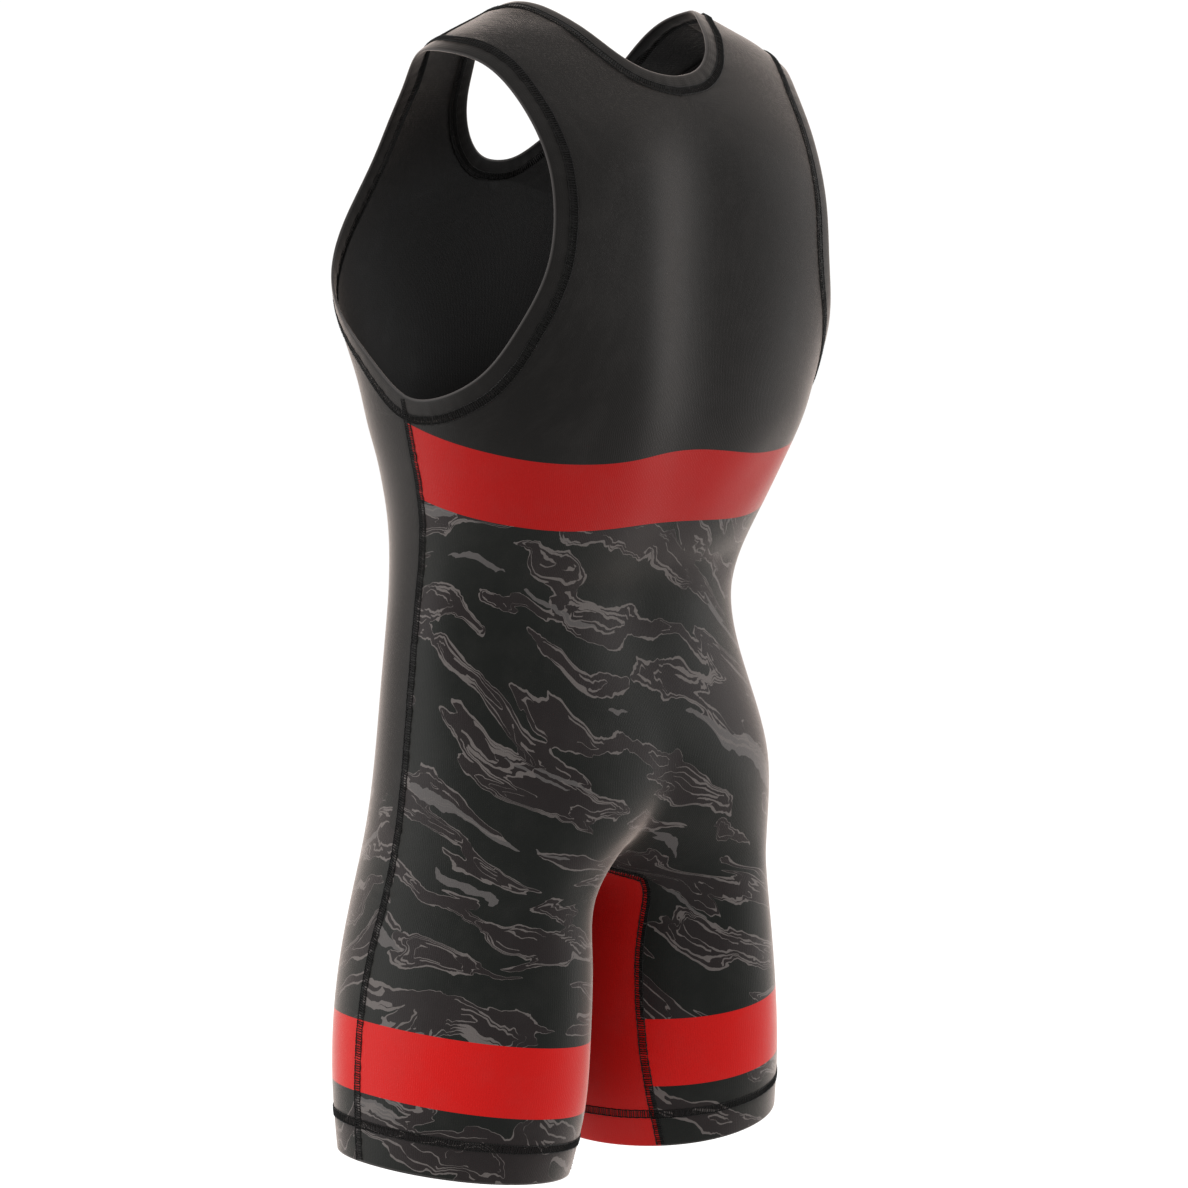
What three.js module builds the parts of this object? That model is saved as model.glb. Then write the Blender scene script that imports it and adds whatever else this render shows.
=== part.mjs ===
// A wrestling singlet, men's medium, filled out as it is worn, with nobody in it.
// Millimetres, +X to the wearer's left, -Y to the front, +Z up.
// The origin lies between the shoulders, at the height of the strap ridges.
import * as THREE from 'three';
import { mergeVertices } from 'three/addons/utils/BufferGeometryUtils.js';

// Cloth walls: one layer of knit, a folded binding, and the doubled hem
const CLOTH = 1.5;
const BINDING_WALL = 2.0;
const HEM_WALL = 2.2;
const SEAM_GAP = 0.4;
const SHARPEST = 2;

// Heights of the levels that the cut turns on, at the side of the body
const ARMHOLE_LEVEL = -303;
const ARMHOLE_SAG = 12;
const SAG_END = -360;
const WAIST_LEVEL = -450;
const CROTCH_LEVEL = -675;
const HEM_LEVEL = -888;
const HEM_FOLD = 28;
const HEM_STEP = 1.5;

// Bindings, and how the legs lean outwards
const ARMHOLE_BINDING = 15;
const NECK_BINDING = 13;
const LEG_SPLAY = 8;
const SPLAY_FROM = -640;
const SPLAY_TO = -800;
const BODY_HALF_GAP = 14;

// The hollow down the middle of the back
const SPINE_DEPTH = 7;
const SPINE_WIDTH = 34;
const SPINE_TOP = { none: -60, full: -130 };
const SPINE_FOOT = { none: -560, full: -430 };

// Facets: strips from the middle to the side, and rows in each stretch
const STRIPS = 14;
const STRIP_SPREAD = 1.2;
const BODY_ROWS = 13;
const FORK_ROWS = 5;
const TIP_ROWS = 5;
const LEG_ROWS = 8;
const GUSSET_STRIPS = 4;
const BINDING_STRIPS = 2;
const FRONT_CENTRE_ROWS = 7;
const FRONT_STRAP_ROWS = 8;
const BACK_CENTRE_ROWS = 9;
const BACK_STRAP_ROWS = 7;

// How the rows crowd together above the fork and below the crotch
const FORK_CROWDING = 1.7;
const LEG_CROWDING = 1.3;

// Finding points on the form: halvings of a search, its reach, and the step of a slope
const HALVINGS = 40;
const BINDING_SEARCH = 20;
const TRUNK_SEARCH = { from: 0.2, to: 1.8 };
const SLOPE_STEP = 0.5;
const WELD = 1e-3;
const WRAP = 3;

// Level slices of the body: height, half width, front, back and side depth, squareness
const SLICES = [
  { z: 14, width: 12, front: 16, back: 34, side: 25, square: 2.2 },
  { z: 10, width: 56, front: 0, back: 40, side: 25, square: 2.2 },
  { z: 4, width: 87, front: -14, back: 45, side: 26, square: 2.2 },
  { z: -3, width: 105, front: -24, back: 53, side: 26, square: 2.2 },
  { z: -11, width: 123, front: -30, back: 64, side: 26, square: 2.2 },
  { z: -20, width: 144, front: -36, back: 75, side: 26, square: 2.2 },
  { z: -31, width: 166, front: -41, back: 84, side: 25, square: 2.2 },
  { z: -42, width: 181, front: -48, back: 92, side: 25, square: 2.25 },
  { z: -56, width: 193, front: -60, back: 101, side: 24, square: 2.35 },
  { z: -72, width: 200, front: -74, back: 111, side: 22, square: 2.5 },
  { z: -90, width: 205, front: -88, back: 122, side: 20, square: 2.6 },
  { z: -112, width: 208, front: -101, back: 132, side: 17, square: 2.7 },
  { z: -150, width: 212, front: -113, back: 138, side: 13, square: 3.0 },
  { z: -195, width: 211, front: -120, back: 137, side: 11, square: 3.1 },
  { z: -240, width: 202, front: -121, back: 136, side: 10, square: 2.9 },
  { z: -280, width: 191, front: -119, back: 134, side: 10, square: 2.65 },
  { z: -310, width: 184, front: -118, back: 129, side: 9, square: 2.55 },
  { z: -345, width: 172, front: -117, back: 117, side: 4, square: 2.5 },
  { z: -380, width: 161, front: -117, back: 101, side: -3, square: 2.45 },
  { z: -450, width: 152, front: -121, back: 66, side: -20, square: 2.4 },
  { z: -520, width: 160, front: -122, back: 81, side: -20, square: 2.3 },
  { z: -580, width: 168, front: -119, back: 100, side: -18, square: 2.2 },
  { z: -630, width: 171, front: -122, back: 94, side: -24, square: 2.1 },
  { z: -675, width: 175, front: -127, back: 84, side: -33, square: 2.05 },
  { z: -720, width: 181, front: -133, back: 85, side: -42, square: 2.05 },
  { z: -780, width: 188, front: -137, back: 87, side: -48, square: 2.05 },
  { z: -840, width: 195, front: -131, back: 82, side: -44, square: 2.05 },
  { z: -888, width: 200, front: -116, back: 70, side: -36, square: 2.05 },
];

// How far each leg's middle stands from the middle of the body
const LEG_CENTRES = [
  { z: -450, x: 0 },
  { z: -520, x: 20 },
  { z: -580, x: 50 },
  { z: -630, x: 76 },
  { z: -675, x: 94.6 },
  { z: -720, x: 99 },
  { z: -780, x: 103 },
  { z: -840, x: 108 },
  { z: -888, x: 115 },
];

// The gusset's edge on a leg, as an angle round it from the side seam, in degrees
const GUSSET_EDGE = [
  { z: -662, angle: 146 },
  { z: -675, angle: 142 },
  { z: -700, angle: 142 },
  { z: -750, angle: 144 },
  { z: -800, angle: 143 },
  { z: -888, angle: 137 },
];
const GUSSET_TIP = -663;
const FORK_TOP = -620;

// The left armhole's seam, from just before the side seam up the front, over the shoulder and
// down the back; the side seam's top comes first, from the slices
const ARMHOLE_SEAM = [
  { x: 188, y: -8, z: -294 },
  { x: 187, y: -36, z: -266 },
  { x: 181, y: -75, z: -227 },
  { x: 169, y: -95, z: -196 },
  { x: 151, y: -101, z: -165 },
  { x: 133, y: -97, z: -136 },
  { x: 123, y: -85, z: -108 },
  { x: 123, y: -66, z: -82 },
  { x: 129, y: -42, z: -58 },
  { x: 139, y: -15, z: -43 },
  { x: 150, y: 10, z: -34 },
  { x: 157, y: 35, z: -31 },
  { x: 150, y: 54, z: -34 },
  { x: 140, y: 73, z: -46 },
  { x: 133, y: 96, z: -70 },
  { x: 128, y: 120, z: -110 },
  { x: 128, y: 129, z: -155 },
  { x: 134, y: 124, z: -205 },
  { x: 149, y: 110, z: -246 },
  { x: 167, y: 89, z: -281 },
  { x: 180, y: 60, z: -299 },
  { x: 185, y: 34, z: -305 },
];
const ARMHOLE_SHOULDER = 11;

// The neck seam, from the middle of the front over the shoulder to the middle of the back
const NECK_SEAM = [
  { x: 0, y: -108, z: -124 },
  { x: 18, y: -107, z: -122 },
  { x: 36, y: -102, z: -113 },
  { x: 52, y: -91, z: -99 },
  { x: 70, y: -70, z: -77 },
  { x: 84, y: -44, z: -52 },
  { x: 95, y: -16, z: -22 },
  { x: 102, y: 5, z: -5 },
  { x: 104, y: 24, z: -2 },
  { x: 95, y: 38, z: -4 },
  { x: 84, y: 56, z: -11 },
  { x: 73, y: 74, z: -24 },
  { x: 56, y: 92, z: -42 },
  { x: 30, y: 101, z: -61 },
  { x: 0, y: 103, z: -69 },
];
const NECK_SHOULDER = 7;

const CHEST_CENTRE = new THREE.Vector3(0, 10, -230);
const DEGREE = Math.PI / 180;

// A smooth line through (x, y) pairs: a natural cubic spline
function spline(xs, ys) {
  const last = xs.length - 1;
  const bend = new Array(xs.length).fill(0);
  const load = new Array(xs.length).fill(0);
  for (let i = 1; i < last; i++) {
    const share = (xs[i] - xs[i - 1]) / (xs[i + 1] - xs[i - 1]);
    const pivot = share * bend[i - 1] + 2;
    const after = (ys[i + 1] - ys[i]) / (xs[i + 1] - xs[i]);
    const before = (ys[i] - ys[i - 1]) / (xs[i] - xs[i - 1]);
    bend[i] = (share - 1) / pivot;
    load[i] = (6 * (after - before) / (xs[i + 1] - xs[i - 1]) - share * load[i - 1]) / pivot;
  }
  for (let i = last - 1; i > 0; i--) bend[i] = bend[i] * bend[i + 1] + load[i];
  return (x) => {
    let i = 0;
    while (i < last - 1 && x > xs[i + 1]) i++;
    const step = xs[i + 1] - xs[i];
    const a = (xs[i + 1] - x) / step;
    const b = (x - xs[i]) / step;
    const curve = (a ** 3 - a) * bend[i] + (b ** 3 - b) * bend[i + 1];
    return a * ys[i] + b * ys[i + 1] + curve * step * step / 6;
  };
}

// One column of a table of levels, as a smooth line over the height
function column(rows, name) {
  const rising = [...rows].reverse();
  return spline(rising.map((row) => row.z), rising.map((row) => row[name]));
}

const slice = {
  width: column(SLICES, 'width'),
  front: column(SLICES, 'front'),
  back: column(SLICES, 'back'),
  side: column(SLICES, 'side'),
  square: column(SLICES, 'square'),
};
const legCentreLine = column(LEG_CENTRES, 'x');
const gussetLine = column(GUSSET_EDGE, 'angle');

function legCentre(z) {
  return z > WAIST_LEVEL ? 0 : Math.max(legCentreLine(z), 0);
}

function ease(from, to, x) {
  const t = THREE.MathUtils.clamp((x - from) / (to - from), 0, 1);
  return t * t * (3 - 2 * t);
}

function spineHollow(x, z) {
  const length = ease(SPINE_TOP.none, SPINE_TOP.full, z) * ease(SPINE_FOOT.none, SPINE_FOOT.full, z);
  return SPINE_DEPTH * Math.exp(-((x / SPINE_WIDTH) ** 2)) * length;
}

// The half width of a slice, with the two halves' merging allowed for
function lobeRadius(z) {
  return Math.hypot(slice.width(z), BODY_HALF_GAP) - legCentre(z);
}

// How far a leg's outer side is raised, and its inner side lowered, as the legs lean outwards
function splayLift(x, z) {
  return Math.tan(LEG_SPLAY * DEGREE) * ease(SPLAY_FROM, SPLAY_TO, z) * (x - legCentre(z));
}

// A point of the left half: angle 0 at the side seam, growing to the back, falling to the front
function ringPoint(z, angle) {
  const centre = legCentre(z);
  const power = 2 / slice.square(z);
  const cos = Math.cos(angle);
  const sin = Math.sin(angle);
  const reach = centre + lobeRadius(z) * Math.sign(cos) * Math.abs(cos) ** power;
  const x = Math.sqrt(Math.max(reach ** 2 - BODY_HALF_GAP ** 2, 0));
  const side = slice.side(z);
  const depth = sin > 0 ? slice.back(z) - side : side - slice.front(z);
  const hollow = sin > 0 ? spineHollow(x, z) * sin : 0;
  const y = side + depth * Math.sign(sin) * Math.abs(sin) ** power - hollow;
  return new THREE.Vector3(x, y, z + splayLift(x, z));
}

// The angle at which a slice meets the middle of the body, or closes round the leg
function closingAngle(z) {
  if (z <= CROTCH_LEVEL) return Math.PI;
  const ratio = THREE.MathUtils.clamp((BODY_HALF_GAP - legCentre(z)) / lobeRadius(z), -1, 1);
  return Math.acos(Math.sign(ratio) * Math.abs(ratio) ** (slice.square(z) / 2));
}

// Below 0 inside the body's form and above 0 outside it
function formField(point) {
  const x = Math.abs(point.x);
  if (point.z > SLICES[0].z) return 1;
  let z = point.z;
  for (let i = 0; i < 3; i++) z = point.z - splayLift(x, z);
  const side = slice.side(z);
  const y = point.y > side ? point.y + spineHollow(x, z) : point.y;
  const depth = y > side ? slice.back(z) - side : side - slice.front(z);
  const across = Math.abs(Math.hypot(x, BODY_HALF_GAP) - legCentre(z)) / lobeRadius(z);
  return across ** slice.square(z) + (Math.abs(y - side) / depth) ** slice.square(z) - 1;
}

function formNormal(point) {
  const slope = (axis) => {
    const ahead = point.clone();
    const behind = point.clone();
    ahead[axis] += SLOPE_STEP;
    behind[axis] -= SLOPE_STEP;
    return formField(ahead) - formField(behind);
  };
  return new THREE.Vector3(slope('x'), slope('y'), slope('z')).normalize();
}

// Slides a point along a line until it lies on the trunk's form
function alongOntoTrunk(start, direction, inner, outer) {
  let low = inner;
  let high = outer;
  for (let i = 0; i < HALVINGS; i++) {
    const middle = (low + high) / 2;
    if (formField(start.clone().addScaledVector(direction, middle)) < 0) low = middle;
    else high = middle;
  }
  return start.clone().addScaledVector(direction, low);
}

// Out from the chest's centre, or level from the body's middle below it
function ontoTrunk(point) {
  const centre = CHEST_CENTRE.clone();
  centre.z = Math.min(point.z, CHEST_CENTRE.z);
  return alongOntoTrunk(centre, point.clone().sub(centre), TRUNK_SEARCH.from, TRUNK_SEARCH.to);
}

// A smooth seam through a table of points, laid on the form; wraps round when it is closed
function seamLine(rows, closed) {
  const points = rows.map((row) => ontoTrunk(new THREE.Vector3(row.x, row.y, row.z)));
  const margin = closed ? WRAP : 0;
  const count = points.length;
  const knots = [];
  for (let i = -margin; i < count + margin + (closed ? 1 : 0); i++) {
    knots.push(points[(i + count) % count]);
  }
  const lengths = [0];
  for (let i = 1; i < knots.length; i++) lengths.push(lengths[i - 1] + knots[i].distanceTo(knots[i - 1]));
  const lines = ['x', 'y', 'z'].map((axis) => spline(lengths, knots.map((knot) => knot[axis])));
  const at = (length) => ontoTrunk(new THREE.Vector3(...lines.map((line) => line(length))));
  return { at, mark: (index) => lengths[index + margin], end: lengths[knots.length - 1 - margin] };
}

function samples(seam, from, to, count) {
  const points = [];
  for (let i = 0; i <= count; i++) points.push(seam.at(from + (to - from) * i / count));
  return points;
}

const armholeSeam = seamLine([ringPoint(ARMHOLE_LEVEL, 0), ...ARMHOLE_SEAM], true);
const neckSeam = seamLine(NECK_SEAM, false);
const armholeFront = samples(armholeSeam, armholeSeam.mark(0), armholeSeam.mark(ARMHOLE_SHOULDER),
  FRONT_CENTRE_ROWS + FRONT_STRAP_ROWS);
const armholeBack = samples(armholeSeam, armholeSeam.end, armholeSeam.mark(ARMHOLE_SHOULDER),
  BACK_CENTRE_ROWS + BACK_STRAP_ROWS);
const neckFront = samples(neckSeam, 0, neckSeam.mark(NECK_SHOULDER), FRONT_STRAP_ROWS);
const neckBack = samples(neckSeam, neckSeam.end, neckSeam.mark(NECK_SHOULDER), BACK_STRAP_ROWS);

// Rows of a panel below the armholes: from the side seam to the middle or to the gusset
function lowerLevels() {
  const levels = [];
  for (let i = 0; i < BODY_ROWS; i++) {
    levels.push(ARMHOLE_LEVEL + (FORK_TOP - ARMHOLE_LEVEL) * i / BODY_ROWS);
  }
  for (let i = 0; i < FORK_ROWS; i++) {
    levels.push(GUSSET_TIP + (FORK_TOP - GUSSET_TIP) * (1 - i / FORK_ROWS) ** FORK_CROWDING);
  }
  for (let i = 0; i < TIP_ROWS; i++) {
    levels.push(GUSSET_TIP + (CROTCH_LEVEL - GUSSET_TIP) * i / TIP_ROWS);
  }
  const fold = HEM_LEVEL + HEM_FOLD;
  for (let i = 0; i <= LEG_ROWS; i++) {
    levels.push(CROTCH_LEVEL + (fold - CROTCH_LEVEL) * (i / LEG_ROWS) ** LEG_CROWDING);
  }
  levels.push(fold - HEM_STEP, HEM_LEVEL + HEM_FOLD / 2, HEM_LEVEL);
  return levels;
}

const LEVELS = lowerLevels();
const GUSSET_LEVELS = LEVELS.filter((z) => z <= GUSSET_TIP);

function gussetAngle(z) {
  const closing = closingAngle(z);
  if (z >= GUSSET_TIP) return closing;
  const open = ease(GUSSET_TIP, CROTCH_LEVEL, z);
  return closing + (gussetLine(z) * DEGREE - closing) * open;
}

function wallAt(z) {
  return z < HEM_LEVEL + HEM_FOLD - HEM_STEP / 2 ? HEM_WALL : CLOTH;
}

// A piece of cloth is gathered as quads between rows of points, each with its wall
class Cloth {
  constructor() {
    this.corners = [];
    this.walls = [];
  }

  // Rows run one after another; outward is true when row then column turns out of the body
  addGrid(rows, walls, outward) {
    for (let i = 0; i + 1 < rows.length; i++) {
      for (let j = 0; j + 1 < rows[i].length; j++) {
        const quad = [[i, j], [i + 1, j], [i + 1, j + 1], [i, j + 1]];
        if (!outward) quad.reverse();
        for (const k of [0, 1, 2, 0, 2, 3]) {
          const [row, strip] = quad[k];
          this.corners.push(rows[row][strip].clone());
          this.walls.push(walls[row]);
        }
      }
    }
  }

  // The same piece on the wearer's right
  addMirror() {
    const count = this.corners.length;
    for (let i = 0; i < count; i += 3) {
      for (const k of [0, 2, 1]) {
        const corner = this.corners[i + k].clone();
        corner.x = -corner.x;
        this.corners.push(corner);
        this.walls.push(this.walls[i + k]);
      }
    }
  }

  // Joins equal corners, draws the edges in for the seam gap, and gives the cloth its wall
  solid() {
    const flat = new THREE.BufferGeometry();
    const positions = this.corners.flatMap((corner) => [corner.x, corner.y, corner.z]);
    flat.setAttribute('position', new THREE.Float32BufferAttribute(positions, 3));
    flat.setAttribute('wall', new THREE.Float32BufferAttribute(this.walls, 1));
    const sheet = mergeVertices(flat, WELD);
    const point = (i) => new THREE.Vector3().fromBufferAttribute(sheet.attributes.position, i);
    const index = sheet.index.array;
    const faces = [];
    for (let i = 0; i < index.length; i += 3) {
      const [a, b, c] = [index[i], index[i + 1], index[i + 2]];
      if (a !== b && b !== c && c !== a) faces.push([a, b, c]);
    }
    const count = sheet.attributes.position.count;
    const points = Array.from({ length: count }, (_, i) => point(i));
    const normals = points.map(formNormal);
    const halves = new Map();
    for (const [a, b, c] of faces) {
      for (const [from, to] of [[a, b], [b, c], [c, a]]) halves.set(`${from},${to}`, [from, to]);
    }
    const edges = [...halves.values()].filter(([from, to]) => !halves.has(`${to},${from}`));
    const inward = new Map();
    for (const [from, to] of edges) {
      const along = points[to].clone().sub(points[from]);
      for (const end of [from, to]) {
        const pull = normals[end].clone().cross(along).normalize();
        inward.set(end, (inward.get(end) ?? new THREE.Vector3()).add(pull));
      }
    }
    for (const [end, pull] of inward) {
      const spread = Math.max(pull.length() / 2, 1 / SHARPEST);
      points[end].addScaledVector(pull.normalize(), SEAM_GAP / 2 / spread);
    }
    const wall = sheet.attributes.wall.array;
    const outer = points.map((at, i) => at.clone().addScaledVector(normals[i], wall[i] / 2));
    const inner = points.map((at, i) => at.clone().addScaledVector(normals[i], -wall[i] / 2));
    const triangles = [];
    for (const [a, b, c] of faces) {
      triangles.push(a, b, c, a + count, c + count, b + count);
    }
    for (const [from, to] of edges) {
      triangles.push(to, from, from + count, to, from + count, to + count);
    }
    const geometry = new THREE.BufferGeometry();
    geometry.setFromPoints([...outer, ...inner]);
    geometry.setIndex(triangles);
    return geometry;
  }
}

// Side is 1 for the back panel and -1 for the front panel
function panel(side, seam, neck, centreRows) {
  const cloth = new Cloth();
  const lower = LEVELS.map((z) => {
    const end = gussetAngle(z);
    const sag = side > 0 ? ARMHOLE_SAG * ease(SAG_END, ARMHOLE_LEVEL, z) : 0;
    const row = [];
    for (let j = 0; j <= STRIPS; j++) {
      const angle = end * (1 - (j / STRIPS) ** STRIP_SPREAD);
      row.push(ringPoint(z - sag * Math.sin(2 * Math.min(angle, Math.PI / 2)), side * angle));
    }
    if (z >= GUSSET_TIP) row[0].x = 0;
    return row;
  });
  cloth.addGrid(lower, LEVELS.map(wallAt), side < 0);

  const base = lower[0];
  const middle = base[0];
  const corner = base[STRIPS];
  const shares = base.map((at) => {
    const across = at.x / corner.x;
    const deep = Math.abs((at.y - corner.y) / (middle.y - corner.y));
    return across / (across + deep);
  });
  const upper = seam.map((outer, i) => {
    if (i === 0) return base;
    const height = ARMHOLE_LEVEL + (neck[0].z - ARMHOLE_LEVEL) * Math.min(i / centreRows, 1);
    const inner = i < centreRows ? new THREE.Vector3(0, middle.y, height) : neck[i - centreRows];
    return shares.map((share) => {
      const between = inner.clone().lerp(outer, share);
      return i >= centreRows && share === 0 ? inner.clone() : ontoTrunk(between);
    });
  });
  cloth.addGrid(upper, upper.map(() => CLOTH), side > 0);
  cloth.addMirror();
  return cloth.solid();
}

// From the panels' edges to the innermost line of both legs, in one piece from hem to hem
function gusset() {
  const cloth = new Cloth();
  for (const side of [1, -1]) {
    const rows = GUSSET_LEVELS.map((z) => {
      const start = gussetAngle(z);
      const end = closingAngle(z);
      const row = [];
      for (let j = 0; j <= GUSSET_STRIPS; j++) {
        row.push(ringPoint(z, side * (start + (end - start) * j / GUSSET_STRIPS)));
      }
      const last = row[GUSSET_STRIPS];
      if (z >= CROTCH_LEVEL) last.x = 0;
      if (z <= CROTCH_LEVEL) last.y = slice.side(z);
      return row;
    });
    cloth.addGrid(rows, GUSSET_LEVELS.map(wallAt), side > 0);
  }
  cloth.addMirror();
  return cloth.solid();
}

// A folded strip that lies on the form beside a seam; turn picks the side of the seam
function bindingRows(line, closed, width, turn) {
  const last = line.length - 1;
  return line.map((at, i) => {
    const before = i > 0 ? line[i - 1] : closed ? line[last - 1] : mirrored(line[1]);
    const after = i < last ? line[i + 1] : closed ? line[1] : mirrored(line[last - 1]);
    const along = after.clone().sub(before).normalize();
    const row = [at.clone()];
    for (let j = 1; j <= BINDING_STRIPS; j++) {
      const from = row[j - 1];
      const aside = formNormal(from).cross(along).multiplyScalar(turn).normalize();
      const near = from.clone().addScaledVector(aside, width / BINDING_STRIPS);
      row.push(alongOntoTrunk(near, formNormal(near), -BINDING_SEARCH, BINDING_SEARCH));
    }
    return row;
  });
}

function mirrored(at) {
  return new THREE.Vector3(-at.x, at.y, at.z);
}

function armholeBinding(side) {
  const line = [...armholeFront, ...armholeBack.slice(0, -1).reverse()];
  const cloth = new Cloth();
  const rows = bindingRows(line, true, ARMHOLE_BINDING, -1);
  rows[rows.length - 1] = rows[0];
  const placed = rows.map((row) => row.map((at) => (side > 0 ? at : mirrored(at))));
  cloth.addGrid(placed, rows.map(() => BINDING_WALL), side < 0);
  return cloth.solid();
}

function neckBinding() {
  const line = [...neckFront, ...neckBack.slice(0, -1).reverse()];
  const rows = bindingRows(line, false, NECK_BINDING, 1);
  for (const row of [rows[0], rows[rows.length - 1]]) row.forEach((at) => { at.x = 0; });
  const cloth = new Cloth();
  cloth.addGrid(rows, rows.map(() => BINDING_WALL), true);
  cloth.addMirror();
  return cloth.solid();
}

const KNIT = { roughness: 0.62, metalness: 0 };

function piece(name, geometry, colour) {
  const material = new THREE.MeshStandardMaterial({ color: colour, ...KNIT });
  material.name = name;
  const mesh = new THREE.Mesh(geometry, material);
  mesh.name = name;
  return mesh;
}

const singlet = new THREE.Group();
singlet.name = 'wrestling_singlet';
singlet.add(piece('front_panel', panel(-1, armholeFront, neckFront, FRONT_CENTRE_ROWS), '#2a2828'));
singlet.add(piece('back_panel', panel(1, armholeBack, neckBack, BACK_CENTRE_ROWS), '#2e2b2b'));
singlet.add(piece('inner_leg_gusset', gusset(), '#b01f1d'));
singlet.add(piece('neck_binding', neckBinding(), '#333131'));
singlet.add(piece('armhole_binding_left', armholeBinding(1), '#333131'));
singlet.add(piece('armhole_binding_right', armholeBinding(-1), '#333131'));

export default singlet;
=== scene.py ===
# %% [markdown]
# A wrestling singlet, filled out as it is worn, with nobody in it.
# The real garment is six pieces of nylon and elastane knit: a front, a back, a red gusset between the
# legs, and three folded bindings. Flatlock seams join them, so the pieces butt edge to edge and black
# thread lies across each joint like a ladder. The lesson builds the stage, then the form that the cloth
# lies on, then each piece, its thread, and last the knits and prints.

# %% Load the fixed frame
import math

import bpy
import numpy as np
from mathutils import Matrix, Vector


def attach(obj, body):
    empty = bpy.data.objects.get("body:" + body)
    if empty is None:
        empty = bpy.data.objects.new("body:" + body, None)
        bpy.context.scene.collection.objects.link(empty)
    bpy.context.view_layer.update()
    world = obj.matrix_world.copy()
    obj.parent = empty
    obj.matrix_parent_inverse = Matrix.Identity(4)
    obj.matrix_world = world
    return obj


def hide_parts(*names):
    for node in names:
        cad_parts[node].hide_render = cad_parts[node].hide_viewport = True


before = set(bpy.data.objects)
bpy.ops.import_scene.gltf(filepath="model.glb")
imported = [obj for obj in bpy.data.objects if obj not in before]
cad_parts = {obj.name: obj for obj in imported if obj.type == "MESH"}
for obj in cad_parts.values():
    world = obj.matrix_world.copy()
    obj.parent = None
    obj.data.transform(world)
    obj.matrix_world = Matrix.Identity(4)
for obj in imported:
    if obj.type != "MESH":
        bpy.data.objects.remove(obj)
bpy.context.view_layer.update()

bpy.ops.object.select_all(action="DESELECT")
MM = 0.001
print("solids to dress:", sorted(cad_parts))

# %% [markdown]
# The camera stands behind the garment and to the wearer's left, a little above the middle, 2.6 m away.
# A long lens keeps the two legs at nearly the same size, as in a catalogue picture.

# %% Camera
CAMERA_TURN = math.radians(42.6)
CAMERA_DISTANCE = 2.6
CAMERA_HEIGHT = -0.145
AIM_HEIGHT = -0.451
AIM_SHIFT = 0.0079
LENS, SENSOR = 101.15, 36

away = Vector((math.sin(CAMERA_TURN), math.cos(CAMERA_TURN), 0))
aside = Vector((-math.cos(CAMERA_TURN), math.sin(CAMERA_TURN), 0))
eye = away * CAMERA_DISTANCE + aside * AIM_SHIFT + Vector((0, 0, CAMERA_HEIGHT))
aim = aside * AIM_SHIFT + Vector((0, 0, AIM_HEIGHT))
bpy.ops.object.camera_add(location=eye, rotation=(aim - eye).to_track_quat("-Z", "Y").to_euler())
camera = bpy.context.object
camera.name = "catalogue_camera"
camera.data.lens = LENS
camera.data.sensor_width = SENSOR
bpy.context.scene.camera = camera
print("the camera stands at", [round(c, 3) for c in eye])

# %% [markdown]
# A few small helpers serve every material. One turns a colour that was picked as sRGB hex into the
# linear numbers that Blender works with. Two more add any node and fill its inputs: a node that is given
# as an input is linked by its first output. The last starts an empty material.

# %% Colour and node helpers
def colour(hex_code):
    """A linear colour with full alpha from an sRGB code such as '#c82322'."""
    parts = [int(hex_code[i:i + 2], 16) / 255 for i in (1, 3, 5)]
    return [part / 12.92 if part <= 0.04045 else ((part + 0.055) / 1.055) ** 2.4 for part in parts] + [1]


def fill(tree, node, inputs):
    """Gives a node's inputs, by name or number, their values, or links from sockets or other nodes."""
    for socket, value in inputs.items():
        if isinstance(value, bpy.types.Node):
            value = value.outputs[0]
        if isinstance(value, bpy.types.NodeSocket):
            tree.links.new(value, node.inputs[socket])
        else:
            node.inputs[socket].default_value = value


def add_node(tree, kind, inputs=(), **settings):
    """Adds a node, with its inputs filled and its properties set."""
    made = tree.nodes.new("ShaderNode" + kind)
    for name, value in settings.items():
        setattr(made, name, value)
    fill(tree, made, dict(inputs))
    return made


def new_material(name):
    """An empty material: its name, its node tree and its shader are what the caller fills in."""
    material = bpy.data.materials.new(name)
    material.use_nodes = True
    tree = material.node_tree
    return material, tree, tree.nodes["Principled BSDF"]


print("half bright on the screen is", round(colour("#808080")[0], 3), "of the light")

# %% [markdown]
# The stage is a plain white floor under a white sky. In a catalogue picture no line shows between the
# two. Here that takes no curved backdrop: the sky is a little brighter than white, so the floor that it
# lights is as white as the sky where they meet.

# %% Stage
FLOOR_HEIGHT = -1.15
FLOOR_SIZE = 60

bpy.ops.mesh.primitive_plane_add(size=FLOOR_SIZE, location=(0, 0, FLOOR_HEIGHT))
floor = bpy.context.object
floor.name = "studio_floor"
# Matt white paint has no reflection, so it shows no form and no edge.
floor_paint, tree, shader = new_material("matt_white_paint")
fill(tree, shader, {"Base Color": colour("#fafafa"), "Roughness": 0.9, "Specular IOR Level": 0.0})
floor.data.materials.append(floor_paint)

# %% [markdown]
# Black cloth on white needs light from beside and behind: it draws the pale rims that show the form.
# Two tall softboxes do that, a large one overhead gives the shoulders their soft grey, and the white
# world fills the rest.

# %% Lights
CHEST = (0, 0, -0.3)
SKY = 1.06
SOFTBOXES = {
    "name":  ("left_rim_box", "right_rim_box", "top_box"),
    "place": ((2.2, -1.6, -0.2), (-2.4, 1.2, -0.1), (0.6, 0.8, 2.2)),
    "size":  ((0.8, 2.4), (0.8, 2.4), (2.0, 2.0)),
    "power": (50, 33, 18),
}

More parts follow.
